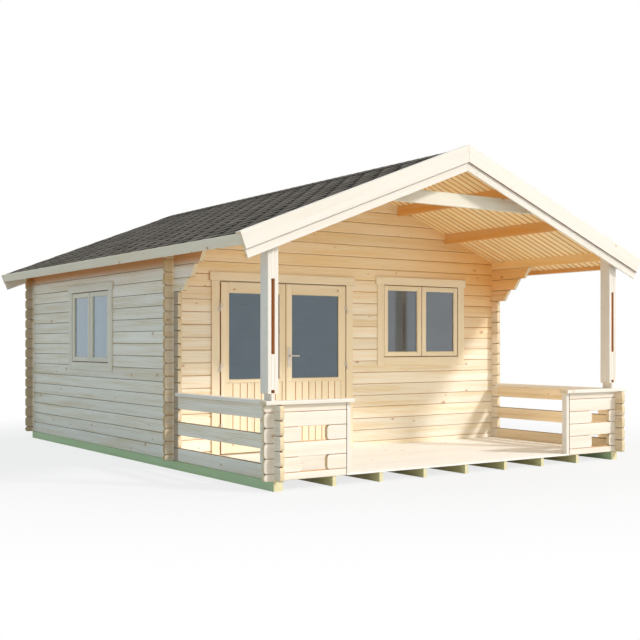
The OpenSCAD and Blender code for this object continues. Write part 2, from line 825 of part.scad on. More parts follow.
module window_frames() color("#e9cfa3") placed() {
    translate([win_x, 0, front_win_z]) window_frame();
    both_sides() in_side_wall() window_frame();
}

module window_casings() color("#eed8b0") placed() {
    translate([win_x, 0, front_win_z]) window_casing();
    both_sides() in_side_wall() window_casing();
}

module window_panes() color("#9fb0b6") placed() {
    translate([win_x, 0, front_win_z]) window_glass();
    both_sides() in_side_wall() window_glass();
}

corner_bearers();
floor_joists();
cabin_floor();
veranda_deck();
left_wall();
right_wall();
back_wall();
front_wall_left();
front_wall_right();
front_gable();
wall_plates();
ridge_purlin();
mid_purlins();
roof_boards_left();
roof_boards_right();
shingles_left();
shingles_right();
eave_fascias();
front_bargeboards();
front_trim_boards();
back_bargeboards();
collar_tie();
left_post();
right_post();
left_side_rails();
right_side_rails();
left_front_rail();
right_front_rail();
rail_caps();
rail_end_trims();
door_frame();
door_casing();
door_left_leaf();
door_right_leaf();
door_left_glass();
door_right_glass();
door_left_hinges();
door_right_hinges();
hinge_pins();
lock_plates();
door_lever();
window_frames();
window_casings();
window_panes();
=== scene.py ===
import math
import random

import bmesh
import bpy
from mathutils import Matrix, Vector


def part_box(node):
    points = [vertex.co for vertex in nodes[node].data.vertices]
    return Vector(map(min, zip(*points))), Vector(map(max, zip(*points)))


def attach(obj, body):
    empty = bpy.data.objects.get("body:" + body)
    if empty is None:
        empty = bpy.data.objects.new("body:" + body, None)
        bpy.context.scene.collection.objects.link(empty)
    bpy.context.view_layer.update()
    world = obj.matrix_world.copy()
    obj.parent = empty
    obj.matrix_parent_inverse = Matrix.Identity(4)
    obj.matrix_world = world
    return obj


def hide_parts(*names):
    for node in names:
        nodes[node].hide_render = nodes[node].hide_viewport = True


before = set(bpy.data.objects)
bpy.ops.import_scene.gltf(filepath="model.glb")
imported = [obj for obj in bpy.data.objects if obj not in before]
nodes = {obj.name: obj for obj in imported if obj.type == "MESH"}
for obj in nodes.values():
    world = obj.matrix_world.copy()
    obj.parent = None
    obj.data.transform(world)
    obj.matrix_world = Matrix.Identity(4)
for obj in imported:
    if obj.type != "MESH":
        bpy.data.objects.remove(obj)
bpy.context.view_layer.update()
scene = bpy.context.scene
print("frame loaded,", len(nodes), "nodes")


# shader and geometry sums written as Python
class Wire:
    def __init__(self, tree, socket=None):
        self.tree = tree
        self.socket = socket

    def add(self, kind, settings=None, inputs=None, out=0):  # any node
        node = self.tree.nodes.new(kind)
        for key, value in (settings or {}).items():
            setattr(node, key, value)
        for key, value in (inputs or {}).items():
            if isinstance(value, Wire):
                self.tree.links.new(value.socket, node.inputs[key])
            else:
                node.inputs[key].default_value = value
        return Wire(self.tree, node.outputs[out])

    def pick(self, out):  # another output of the same node
        return Wire(self.tree, self.socket.node.outputs[out])

    def math(self, operation, first, second=0.0):
        return self.add("ShaderNodeMath", {"operation": operation}, {0: first, 1: second})

    def __add__(self, other):
        return self.math("ADD", self, other)

    def __radd__(self, other):
        return self.math("ADD", other, self)

    def __sub__(self, other):
        return self.math("SUBTRACT", self, other)

    def __rsub__(self, other):
        return self.math("SUBTRACT", other, self)

    def __mul__(self, other):
        return self.math("MULTIPLY", self, other)

    def __rmul__(self, other):
        return self.math("MULTIPLY", other, self)

    def __truediv__(self, other):
        return self.math("DIVIDE", self, other)

    def __rtruediv__(self, other):
        return self.math("DIVIDE", other, self)

    def __gt__(self, other):
        return self.math("GREATER_THAN", self, other)

    def __lt__(self, other):
        return self.math("LESS_THAN", self, other)


def rgb(hexCode):  # screen colour to the linear values that sockets take
    parts = [int(hexCode[i:i + 2], 16) / 255 for i in (0, 2, 4)]
    return tuple(c / 12.92 if c <= 0.04045 else ((c + 0.055) / 1.055) ** 2.4 for c in parts) + (1.0,)


def newMaterial(name):
    mat = bpy.data.materials.new(name)
    mat.use_nodes = True
    mat.node_tree.nodes.clear()
    return mat, Wire(mat.node_tree)


def showSurface(w, shader, kind="Material"):
    output = w.tree.nodes.new("ShaderNodeOutput" + kind)
    w.tree.links.new(shader.socket, output.inputs["Surface"])


def finishMaterial(mat, w, settings):
    showSurface(w, w.add("ShaderNodeBsdfPrincipled", None, settings))
    return mat


def spread(w, value, low, high, start=0.0, end=1.0):  # smooth step from low to high
    return w.add("ShaderNodeMapRange", {"interpolation_type": "SMOOTHSTEP"},
                 {0: value, 1: low, 2: high, 3: start, 4: end})


def combine(w, x, y, z):
    return w.add("ShaderNodeCombineXYZ", None, {0: x, 1: y, 2: z})


def stretched(w, parts, scales):
    return combine(w, *(part * scale for part, scale in zip(parts, scales)))


def split(w, vector):
    whole = w.add("ShaderNodeSeparateXYZ", None, {0: vector})
    return whole, whole.pick("Y"), whole.pick("Z")


def attribute(w, name, out):
    return w.add("ShaderNodeAttribute", {"attribute_name": name}, out=out)


def objectPlace(w):
    return w.add("ShaderNodeTexCoord", out="Object")


def noise(w, place, detail=2.0, rough=0.55, scale=1.0):
    return w.add("ShaderNodeTexNoise", None,
                 {"Vector": place, "Scale": scale, "Detail": detail, "Roughness": rough})


def bumps(w, height, strength, distance):
    return w.add("ShaderNodeBump", None, {"Strength": strength, "Distance": distance, "Height": height})


def mixColour(w, factor, first, second, blend="MIX"):
    return w.add("ShaderNodeMix", {"data_type": "RGBA", "blend_type": blend, "clamp_factor": True},
                 {0: factor, 6: first, 7: second}, out=2)


# what the look of a timber leaves out
timber = {"knots": 0.25, "knotCell": 0.22, "knotLong": 0.62, "knotSize": 0.011, "knotDepth": 0.65,
          "knotRing": "d3a566", "knotCore": "8f5c2c", "ringGap": 0.016, "ringDepth": 0.5, "streaks": 1.6,
          "toneDepth": 0.12, "rough": 0.6}
grain = {"shift": (61.0, 17.0), "ragged": (90.0, 130.0, 90.0), "raggedDepth": 0.007, "core": (1.0, 0.5),
         "ring": (2.6, 0.9), "bendFrom": 0.075, "bend": 0.018, "wobble": (0.55, 7.0, 7.0), "wobbleTurn": 9.0,
         "late": 2.2, "fibre": (5.0, 260.0, 260.0), "fibreDepth": 0.7, "streak": (0.7, 16.0, 6.0)}


# planed timber, grain along the first axis of the "grain" attribute, "tone" differs from board to board
def woodMaterial(name, given):
    look = {**timber, **given}
    mat, w = newMaterial(name)
    tone = attribute(w, "tone", "Fac")
    along, across, depth = split(w, attribute(w, "grain", "Vector"))
    along = along + tone * grain["shift"][0]  # no two boards are cut from the same place
    across = across + tone * grain["shift"][1]
    spot = combine(w, along * look["knotLong"], across, 0.0)
    knots = w.add("ShaderNodeTexVoronoi", {"voronoi_dimensions": "2D"},
                  {"Vector": spot, "Scale": 1 / look["knotCell"]}, out="Distance")
    chance = w.add("ShaderNodeSeparateColor", None, {0: knots.pick("Color")})
    chosen = chance.pick("Red") > 1 - look["knots"]
    ragged = noise(w, stretched(w, (along, across, depth), grain["ragged"]))
    away = knots * look["knotCell"] + (ragged - 0.5) * grain["raggedDepth"]
    size = look["knotSize"] * (0.35 + chance.pick("Green") * chance.pick("Green"))
    core = chosen * spread(w, away / size, *grain["core"])
    ring = chosen * spread(w, away / size, *grain["ring"])
    bend = spread(w, away, grain["bendFrom"], 0.0, 0.0, grain["bend"])  # fibres bend round a knot
    bent = across + chosen * bend
    wobble = noise(w, stretched(w, (along, bent, depth), grain["wobble"]))
    band = w.math("SINE", (bent + depth * 0.5) * (6.28 / look["ringGap"]) + wobble * grain["wobbleTurn"])
    late = w.math("POWER", band * 0.5 + 0.5, grain["late"])
    fibre = noise(w, stretched(w, (along, bent, depth), grain["fibre"]), 3.0, 0.65)
    streak = noise(w, stretched(w, (along, bent, depth), grain["streak"]), 3.0)
    shade = late * look["ringDepth"] + (fibre - 0.5) * grain["fibreDepth"] + (streak - 0.5) * look["streaks"]
    body = mixColour(w, shade, rgb(look["light"]), rgb(look["dark"]))
    body = w.add("ShaderNodeHueSaturation", None, {
        "Color": body, "Saturation": 1.0 + (streak - 0.5) * 0.3,
        "Value": 1.0 + (tone - 0.5) * look["toneDepth"]})
    body = mixColour(w, ring * 0.4, body, rgb(look["knotRing"]))
    body = mixColour(w, core * look["knotDepth"], body, rgb(look["knotCore"]))
    if "outer" in look:
        body = paintedShadeByPlace(w, body, look)
    return finishMaterial(mat, w, {
        "Base Color": body, "Normal": bumps(w, fibre * 0.5 + late * 0.5 - core * 0.8, 0.35, 0.0008),
        "Roughness": look["rough"] + (fibre - 0.5) * 0.2 - late * 0.06})


def paintedShadeByPlace(w, body, look):  # painted shade and painted warm bounce light on the logs, by their place
    x, y, z = split(w, objectPlace(w))
    sideways = w.math("ABSOLUTE", x)
    outside = sideways > look["outer"] - look["skin"]
    past = w.math("MAXIMUM", w.math("MAXIMUM", sideways - look["outer"], look["front"] - y), y - look["back"])
    worn = spread(w, y, *look["wornAlong"], look["worn"], look["wornBack"])  # painted shade on the log ends past the corners
    body = mixColour(w, spread(w, past, *look["wornPast"]) * worn, body, rgb(look["wornColour"]))
    if "stub" in look:  # painted shade in the corners below the corbels
        front, back, top = look["stub"]
        inCorner = (y > front) * (back > y) * (top > z) * outside
        body = mixColour(w, inCorner * look["stubDepth"], body, rgb(look["stubColour"]))
    if "shelter" in look:  # painted shade: darker, warmer wood under the eaves and under the veranda roof
        low, high, most = look["shelter"]
        roofShaded = spread(w, z, low, high, 0.0, most)
        if look["shelterSide"]:
            roofShaded = roofShaded * outside
        body = mixColour(w, roofShaded, body, rgb(look["keptColour"]))
    if "glow" in look:  # painted warm bounce light on faces round the veranda
        low, high, least, most = look["glow"]
        warm = spread(w, z, low, high, least, most)
        if "glowAcross" in look:
            warm = warm * spread(w, x, *look["glowAcross"])
        else:
            warm = warm * (1 - outside) * (look["porchBack"] > y)
        body = mixColour(w, warm, body, rgb(look["glowColour"]), "MULTIPLY")
    return body


# sawn ends: growth rings across the section
def endGrainMaterial(name, look):
    mat, w = newMaterial(name)
    tone = attribute(w, "tone", "Fac")
    across, depth = split(w, attribute(w, "grain", "Vector"))[1:]
    across = across + tone * 3.0
    depth = depth + tone * 0.4
    wobble = noise(w, combine(w, across * 22.0, depth * 22.0, tone * 9.0), 3.0)
    arc = w.math("SQRT", (across * across) * 0.12 + depth * depth)
    band = w.math("SINE", arc * 1500.0 + wobble * 7.0)
    pores = noise(w, combine(w, across * 420.0, depth * 420.0, tone), 2.0)
    shade = band * 0.3 + 0.35 + (pores - 0.5) * 0.6 + (wobble - 0.5) * 0.9
    body = mixColour(w, shade, rgb(look["light"]), rgb(look["dark"]))
    return finishMaterial(mat, w, {
        "Base Color": body, "Normal": bumps(w, band * 0.3 + pores, 0.4, 0.001),
        "Roughness": 0.8 + (pores - 0.5) * 0.2})


# felt-backed shingles with mineral granules
def shingleMaterial(name, look):
    mat, w = newMaterial(name)
    place = objectPlace(w)
    tone = attribute(w, "tone", "Fac")
    grit = noise(w, place, 2.0, 0.7, 420.0)
    patch = noise(w, place, 3.0, 0.6, 2.6)
    flecks = w.add("ShaderNodeTexVoronoi", None, {"Vector": place, "Scale": 260.0}, out="Color")
    fleck = w.add("ShaderNodeSeparateColor", None, {0: flecks})
    shade = (grit - 0.5) * 1.3 + (patch - 0.5) * 0.8 + (tone - 0.5) * 0.75 + 0.5
    body = mixColour(w, shade, rgb(look["dark"]), rgb(look["light"]))
    body = mixColour(w, (fleck > 0.86) * 0.5, body, rgb(look["fleck"]))
    return finishMaterial(mat, w, {
        "Base Color": body, "Normal": bumps(w, grit + fleck * 0.4, 0.6, 0.0015),
        "Roughness": 0.88 + (grit - 0.5) * 0.15, "Specular IOR Level": look["gloss"]})


def metalMaterial(name, look):
    mat, w = newMaterial(name)
    place = objectPlace(w)
    lines = w.add("ShaderNodeMapping", None, {"Vector": place, "Scale": (900.0, 900.0, 60.0)})
    brushed = noise(w, lines, 3.0)
    cloudy = noise(w, place, 3.0, 0.5, 35.0)
    return finishMaterial(mat, w, {
        "Base Color": mixColour(w, cloudy, rgb(look["dark"]), rgb(look["light"])), "Metallic": 1.0,
        "Normal": bumps(w, brushed, 0.12, 0.0003),
        "Roughness": look["rough"] + (brushed - 0.5) * 0.2 + (cloudy - 0.5) * 0.15})


def glassMaterial(name, look):
    mat, w = newMaterial(name)
    place = objectPlace(w)
    film = noise(w, place, 3.0, 0.5, 3.5)
    body = mixColour(w, film, rgb(look["dark"]), rgb(look["light"]))
    if "sideColour" in look:  # painted sky reflection: the side panes are lighter and bluer
        atSide = w.math("ABSOLUTE", split(w, place)[0]) > look["sideFrom"]
        body = mixColour(w, atSide, body, rgb(look["sideColour"]))
    return finishMaterial(mat, w, {
        "Base Color": body, "Roughness": 0.03 + film * 0.05, "IOR": look["ior"], "Coat Weight": 0.5,
        "Specular Tint": look["tint"], "Coat Tint": look["tint"],
        "Alpha": look["cover"] + (film - 0.5) * 0.1})


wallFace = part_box("front_wall_left")[0].y
# the faces of the walls, and painted shade on the log ends that reach past the corners
corner = {"outer": -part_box("left_wall")[0].x, "front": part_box("left_front_rail")[0].y,
          "back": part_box("back_wall")[1].y, "skin": 0.012, "worn": 0.42, "wornBack": 0.68,
          "wornColour": "9c7a4c", "wornAlong": (0.0, 2.0), "wornPast": (-0.004, 0.03)}
# the railings take fainter painted shade on their ends
lighterCornerShade = {**corner, "worn": 0.12, "wornBack": 0.12}
porch = {"porchBack": wallFace}
corbelStack = {"deep": 0.14, "high": 0.42}
# painted shade on the side faces of the stub logs below the corbels
stub = {"stub": (wallFace - corbelStack["deep"], wallFace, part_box("left_wall")[1].z - corbelStack["high"]),
        "stubDepth": 0.6, "stubColour": "7d5c34"}
logWood = {"light": "f8f2e7", "dark": "dccaa6", "knots": 0.32, "ringDepth": 0.65, "streaks": 2.5}
woods = {
    # logs: painted shade under the eaves, on the stubs and past the corners; painted warm bounce light inside
    # the veranda
    "logs": {**logWood, "shelter": (2.14, 2.27, 0.92), "shelterSide": True, "keptColour": "c5843c",
             "glow": (1.6, 2.2, 0.15, 0.95), "glowColour": "ffce89", **porch, **corner, **stub},
    # rails: painted warm bounce light on their inner faces
    "rails": {**logWood, "glow": (0.0, 1.0, 1.0, 1.0), "glowColour": "ffefd8", **porch, **lighterCornerShade},
    # front wall: painted shade under the veranda roof, painted warm bounce light growing upwards and to the
    # right
    "front": {"light": "fff8ea", "dark": "ecd2a0", "knots": 0.34, "ringDepth": 0.75, "streaks": 2.4,
              "shelter": (1.5, 2.5, 0.42), "shelterSide": False, "keptColour": "fdd68c",
              "glow": (0.9, 2.3, 0.0, 1.0), "glowAcross": (0.2, 2.4), "glowColour": "f4d09a", **corner},
    "joint": {"light": "d9a86c", "dark": "b98448", "knots": 0.0},
    "greyJoint": {"light": "96866a", "dark": "7b6c50", "knots": 0.0},
    "railing": {"light": "f5ece0", "dark": "e8d8c2", "knots": 0.2, "toneDepth": 0.08, "knotDepth": 0.4,
                **lighterCornerShade},
    "trim": {"light": "f1eae1", "dark": "e7dccd", "knots": 0.16, "toneDepth": 0.05,
             "knotCore": "b8976c", "knotDepth": 0.45},
    "fascia": {"light": "e9dfcb", "dark": "dccdb2", "knots": 0.16, "toneDepth": 0.05},
    # the strong orange of the timber under the roof (plates, purlins, ceiling boards) is painted warm bounce
    # light in the shade
    "beams": {"light": "ffd798", "dark": "f4bd72", "knots": 0.2},
    "purlin": {"light": "edb36b", "dark": "e49e51", "knots": 0.2},
    "ceiling": {"light": "ffe6b2", "dark": "fcc98c", "knots": 0.2, "toneDepth": 0.1},
    "groove": {"light": "cf9450", "dark": "b97d3c", "knots": 0.0},
    "joinery": {"light": "fbeed4", "dark": "f0dcb6", "knots": 0.06, "toneDepth": 0.08},
    "deck": {"light": "fbf9f5", "dark": "f3ece1", "knots": 0.12, "toneDepth": 0.06},
    "treated": {"light": "bfd6a6", "dark": "a0b984", "knots": 0.2, "knotCore": "5a5a2c",
                "knotRing": "8b8a50"},
    "joist": {"light": "d6cf98", "dark": "b3ac70", "knots": 0.2, "knotCore": "6a5a2c",
              "knotRing": "938a50"},
    # painted shade for narrow gaps and shadowed edges
    "seam": {"light": "8a5a30", "dark": "6b4020", "knots": 0.0},
    # darker, greyer copy of the joinery: painted shade for the side window parts and the collar tie
    "shadedTrim": {"light": "ece5d6", "dark": "d9cdb4", "knots": 0.1, "toneDepth": 0.08},
    # painted shade for the gaps between rounded log ends
    "endGapShade": {"light": "87683f", "dark": "6c4f2c", "knots": 0.0},
    # painted shade for the inside of the post slots
    "slot": {"light": "dda066", "dark": "bd7c44", "knots": 0.0},
}
sawnEnds = {
    "logEnds": {"light": "d9bb8c", "dark": "ae854f"},
    # paler copy of the end grain for side wall ends that face the key light: painted light
    "litEnds": {"light": "f4e4c6", "dark": "dcc297"},
    "railEnds": {"light": "f0dfc0", "dark": "d6b98a"},
    "trimEnds": {"light": "ecdcc0", "dark": "d2b68c"},
    "treatedEnds": {"light": "f0e8c2", "dark": "d2c898"},
}
roofing = {
    "shingle": {"dark": "554f48", "light": "776f66", "fleck": "8a8277", "gloss": 0.1},
    "felt": {"dark": "0f0d0c", "light": "1e1b19", "fleck": "2e2925", "gloss": 0.05},
}
metals = {
    "steel": {"dark": "d8cfc0", "light": "ece5d8", "rough": 0.55},
    "handle": {"dark": "c4c3c0", "light": "e0dfdc", "rough": 0.3},
}
panes = {
    "doorGlass": {"dark": "2c3a46", "light": "3e4f5e", "cover": 0.7, "ior": 2.35,
                  "tint": (0.82, 0.93, 1.0, 1.0)},
    "windowGlass": {"dark": "3f4a50", "light": "525f66", "cover": 0.8, "ior": 2.45,
                    "tint": (0.92, 0.95, 1.0, 1.0), "sideColour": "97b0ba", "sideFrom": 2.2},
}
makers = ((woodMaterial, woods), (endGrainMaterial, sawnEnds), (shingleMaterial, roofing),
          (metalMaterial, metals), (glassMaterial, panes))
finish = {name: maker(name, look) for maker, looks in makers for name, look in looks.items()}
print("materials made,", len(finish))


# places: the grain runs along the first direction, the thickness along the third
def axes(a, b, c, origin=(0, 0, 0)):
    return Matrix.Translation(origin) @ Matrix((a, b, c)).transposed().to_4x4()


ex = Vector((1, 0, 0))
ey = Vector((0, 1, 0))
ez = Vector((0, 0, 1))
crossWall = axes(ex, ez, ey)  # logs and boards along x, standing
sideWall = axes(ey, ez, ex)  # along y, standing
uprightFront = axes(ez, ex, ey)  # vertical, broad face to the front
uprightSide = axes(ez, ey, ex)  # vertical, broad face to the side
flatCross = axes(ex, ey, ez)  # along x, lying
flatDeep = axes(ey, ex, ez)  # along y, lying
turns = {False: (uprightFront, crossWall), True: (uprightSide, sideWall)}  # True for a side wall
sides = ((-1, "left"), (1, "right"))
same = 0.01  # heights this close are one height
inPlane = 0.0006  # a face this close to a plane lies in it
crispAngle = 38  # degrees, edges sharper than this stay crisp
softEdge = 0.002  # chamfer of planed edges
sawnLean = 0.6  # an edge steeper than this is a sawn end
halfRow = 0.5  # the cross walls start with half a log


def linked(name, data):
    piece = bpy.data.objects.new(name, data)
    scene.collection.objects.link(piece)
    return piece


class Joinery:  # gathers wooden pieces into one mesh
    def __init__(self, seed):
        self.verts = []
        self.faces = []
        self.slots = []
        self.grain = []
        self.tones = []
        self.dice = random.Random(seed)

    def push(self, place, shape, tone=None, slot=None):
        points, faces, slots = shape
        slots = slots if slot is None else [slot] * len(faces)
        start = len(self.verts)
        tone = self.dice.random() if tone is None else tone
        for point in points:
            self.verts.append(place @ Vector(point))
            self.grain.append(point)
            self.tones.append(tone)
        self.faces += [[start + i for i in face] for face in faces]
        self.slots += slots

    def seam(self, axis, *values, slot=2):  # faces in these planes take a darker finish: painted shade, as in a shadowed joint
        for i, face in enumerate(self.faces):
            if any(all(abs(self.verts[v][axis] - value) < inPlane for v in face) for value in values):
                self.slots[i] = slot

    def make(self, name, *materials):
        mesh = bpy.data.meshes.new(name)
        mesh.from_pydata(self.verts, [], self.faces)
        for material in materials:
            mesh.materials.append(finish[material])
        mesh.polygons.foreach_set("material_index", [min(s, len(materials) - 1) for s in self.slots])
        grain = mesh.attributes.new("grain", "FLOAT_VECTOR", "POINT")
        grain.data.foreach_set("vector", [c for point in self.grain for c in point])
        mesh.attributes.new("tone", "FLOAT", "POINT").data.foreach_set("value", self.tones)
        work = bmesh.new()
        work.from_mesh(mesh)
        bmesh.ops.recalc_face_normals(work, faces=work.faces)
        work.to_mesh(mesh)
        work.free()
        mesh.polygons.foreach_set("use_smooth", [True] * len(mesh.polygons))
        mesh.set_sharp_from_angle(angle=math.radians(crispAngle))
        return linked(name, mesh)


def fit(piece, slot, *replaced, body="cabin"):
    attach(piece, body)
    if replaced:
        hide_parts(*replaced)


def inset(outline, gap):
    points = [Vector(p) for p in outline]
    count = len(points)
    area = sum(points[i - 1].x * points[i].y - points[i].x * points[i - 1].y for i in range(count))
    turn = 1 if area > 0 else -1
    inner = []
    for i in range(count):
        before = (points[i] - points[i - 1]).normalized()
        after = (points[(i + 1) % count] - points[i]).normalized()
        first = Vector((-before.y, before.x)) * turn
        second = Vector((-after.y, after.x)) * turn
        inner.append(points[i] + (first + second) * (gap / (1 + first.dot(second))))
    return inner


# board with an outline in its broad face and a chamfer round both faces
def board(outline, low, high, chamfer=softEdge):
    inner = inset(outline, chamfer)
    rings = [(inner, low), (outline, low + chamfer), (outline, high - chamfer), (inner, high)]
    points = [(p[0], p[1], c) for ring, c in rings for p in ring]
    count = len(outline)
    faces = [list(range(count)), list(range(3 * count, 4 * count))]
    slots = [0, 0]
    for level in range(3):
        here, above = level * count, (level + 1) * count
        for i in range(count):
            j = (i + 1) % count
            faces.append([here + i, here + j, above + j, above + i])
            rise = abs(outline[j][1] - outline[i][1])
            run = abs(outline[j][0] - outline[i][0])
            slots.append(1 if run < sawnLean * rise else 0)
    return points, faces, slots


def plank(a0, a1, b0, b1, c0, c1, chamfer=softEdge):
    return board([(a0, b0), (a1, b0), (a1, b1), (a0, b1)], c0, c1, chamfer)


log = {"height": 0.140, "edge": 0.008, "slot": 0.0035, "roundLength": 0.026, "roundHeight": 0.036,
       "roundShare": 0.4, "tongue": 0.007, "least": 0.012, "mostRows": 40, "edgeSteps": (0.0, 0.12, 0.4, 1.0),
       "roundSteps": (30, 48, 66, 90), "endGapShadeShare": 0.2, "brownEdge": 0.3}


def roundRise(low, high):
    return min(log["roundHeight"], log["roundShare"] * (high - low))


def squareEnd(low, high):
    return lambda z: 0.0


def roundEnd(low, high):  # quarter ellipses at both edges of the row
    rise = roundRise(low, high)

    def back(z):
        inside = max(0.0, min(z - low, high - z))
        if inside >= rise:
            return 0.0
        return log["roundLength"] * (1 - math.sqrt(1 - (1 - inside / rise) ** 2))
    return back


# one log of a stack as a loft of level rectangles, with its tongue on top
def logShape(a0, a1, low, high, c0, c1, start=squareEnd, end=squareEnd, tongue=True):
    z0 = low + log["slot"] / 2
    z1 = high - log["slot"] / 2
    edge = log["edge"]
    rise = roundRise(low, high)
    lifts = [edge * share for share in log["edgeSteps"]]
    lifts += [rise * (1 - math.cos(math.radians(turn))) for turn in log["roundSteps"]]
    lifts = sorted(v for v in lifts if v <= (z1 - z0) / 2)
    levels = [z0 + v for v in lifts] + [z1 - v for v in reversed(lifts)]
    startBack = start(z0, z1)
    endBack = end(z0, z1)
    rings = []
    for z in levels:
        inside = min(z - z0, z1 - z)
        side = edge - math.sqrt(edge ** 2 - (edge - inside) ** 2) if inside < edge else 0.0
        rings.append((a0 + startBack(z), a1 - endBack(z), z, c0 + side, c1 - side))
    if tongue:
        third = (c1 - c0) / 3
        a, b = rings[-1][:2]
        rings.append((a, b, z1, c0 + third, c1 - third))
        rings.append((a, b, z1 + log["tongue"], c0 + third, c1 - third))
    points = []
    faces = [[0, 1, 2, 3]]
    slots = [0]
    for k, (a, b, z, c, d) in enumerate(rings):
        points += [(a, z, c), (b, z, c), (b, z, d), (a, z, d)]
        if k:
            for i in range(4):
                j = (i + 1) % 4
                faces.append([4 * k - 4 + i, 4 * k - 4 + j, 4 * k + j, 4 * k + i])
                inside = min(z - z0, z1 - rings[k - 1][2])
                # near the row edges the sawn ends take painted shade, for the gaps between log ends
                if i % 2:
                    slots.append(3 if inside < rise * log["endGapShadeShare"] else 1)  # sawn ends
                else:
                    slots.append(2 if inside < edge * log["brownEdge"] else 0)  # sides
    faces.append([4 * len(rings) - 4 + i for i in range(4)])
    slots.append(0)
    return points, faces, slots


def rowsOf(low, high, lower=0.0):  # rows of a stack, its joints lower by part of a row
    first = walls["foot"] - lower * log["height"]
    joints = [first + k * log["height"] for k in range(1, log["mostRows"])]
    edges = [low] + [z for z in joints if low + log["least"] < z < high - log["least"]] + [high]
    return list(zip(edges[:-1], edges[1:]))


# main faces, all read from the frame
leftLow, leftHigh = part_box("left_wall")
frontLow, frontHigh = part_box("front_wall_left")
windowLow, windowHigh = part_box("window_frames")
walls = {
    "foot": leftLow.z, "top": leftHigh.z, "outer": -leftLow.x, "inner": -leftHigh.x, "reach": -frontLow.x,
    "front": frontLow.y, "back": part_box("back_wall")[1].y, "thick": frontHigh.y - frontLow.y,
    "split": frontHigh.z, "doorLeft": frontHigh.x, "doorRight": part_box("front_wall_right")[0].x,
    "ridge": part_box("ridge_purlin")[1].z,
}
roof = {"pitch": math.radians(21.3), "length": 2.845, "boardGap": 0.0003, "boards": 0.019, "layers": 0.032}
window = {"width": 1.300, "height": 0.980, "frontLeft": 0.450, "frame": 0.042, "sash": 0.065, "joint": 0.012,
          "out": 0.010, "thick": 0.045, "rebate": 0.010, "lap": 0.004, "outerBead": 0.004, "innerBead": 0.011,
          "beadBack": 0.030, "edge": 0.004, "foot": windowLow.z, "head": windowHigh.z,
          "sideBack": windowHigh.y}
window["sideFront"] = window["sideBack"] - window["width"]
rails = {"rows": 5, "block": 0.355, "open": (1, 3), "holeOff": 0.400, "hole": 0.298, "holeShift": 0.020,
         "trim": 0.045, "trimGap": 0.008, "trimEdge": 0.003}
corbel = {"step": 0.183, "slant": 0.100, "rows": 3}
wallTone = random.Random(11)
sideTones = {(side, k): wallTone.random() for side in (-1, 1) for k in range(log["mostRows"])}


def roofHeight(x):
    return walls["ridge"] - abs(x) * math.tan(roof["pitch"])


def slantEnd(slant):  # corbel end, longest at its upper edge
    return lambda low, high: lambda z: slant * (1 - min(1.0, max(0.0, (z - low) / (high - low))))


def gableEnd(limit):  # follows the roof underside
    def shape(low, high):
        return lambda z: max(0.0, limit - max(0.0, (walls["ridge"] - z) / math.tan(roof["pitch"])))
    return shape


# side walls with the corbels and the window opening
def sideLogs(side):
    logs = Joinery(3)
    x0, x1 = sorted((side * walls["inner"], side * walls["outer"]))
    endY = walls["front"] - (walls["reach"] - walls["outer"])
    openTop = window["foot"] + window["height"]
    rows = rowsOf(walls["foot"], walls["top"])
    for k, (low, high) in enumerate(rows):
        fromTop = len(rows) - 1 - k
        startY, startEnd = endY, roundEnd
        if k < rails["rows"] and k % 2 == 0:
            startEnd = squareEnd  # the rail goes on from here
        if fromTop < corbel["rows"]:
            startY = leftLow.y + fromTop * corbel["step"]
            startEnd = slantEnd(corbel["slant"])
        runs = [(startY, leftHigh.y, startEnd, roundEnd)]
        if low > window["foot"] - same and high < openTop + same:
            runs = [(startY, window["sideFront"], startEnd, squareEnd),
                    (window["sideBack"], leftHigh.y, squareEnd, roundEnd)]
        for y0, y1, start, end in runs:
            logs.push(sideWall, logShape(y0, y1, low, high, x0, x1, start, end), sideTones[(side, k)])
    return logs


for side, name in sides:
    piece = sideLogs(side).make(name + "WallLogs", "logs", "litEnds", "greyJoint", "endGapShade")
    fit(piece, "logs", name + "_wall")
print("side walls stacked")


def cornerEnds(x0, x1):  # a cross row is rounded where it reaches a corner
    return [roundEnd if out else squareEnd for out in (x0 < -walls["outer"], x1 > walls["outer"])]


def crossRow(logs, x0, x1, low, high, tone, y0):
    shape = logShape(x0, x1, low, high, y0, y0 + walls["thick"], *cornerEnds(x0, x1))
    logs.push(crossWall, shape, tone)


gable = {"over": 0.001, "peak": 0.05}  # the row at the peak has no tongue


def gableRows(logs, y0, low):  # from height low to the ridge
    reach = walls["reach"]
    inner = walls["inner"]
    end = gableEnd(inner)
    for low, high in rowsOf(low, walls["ridge"], halfRow):
        tone = logs.dice.random()
        if high <= walls["top"] + gable["over"]:
            crossRow(logs, -reach, reach, low, high, tone, y0)
            continue
        tongue = high < walls["ridge"] - gable["peak"]
        shape = logShape(-inner, inner, low, high, y0, y0 + walls["thick"], end, end, tongue)
        logs.push(crossWall, shape, tone)
        if low < walls["top"] - same:  # half row under the wall plate
            crossRow(logs, -reach, -inner, low, walls["top"], tone, y0)
            crossRow(logs, inner, reach, low, walls["top"], tone, y0)


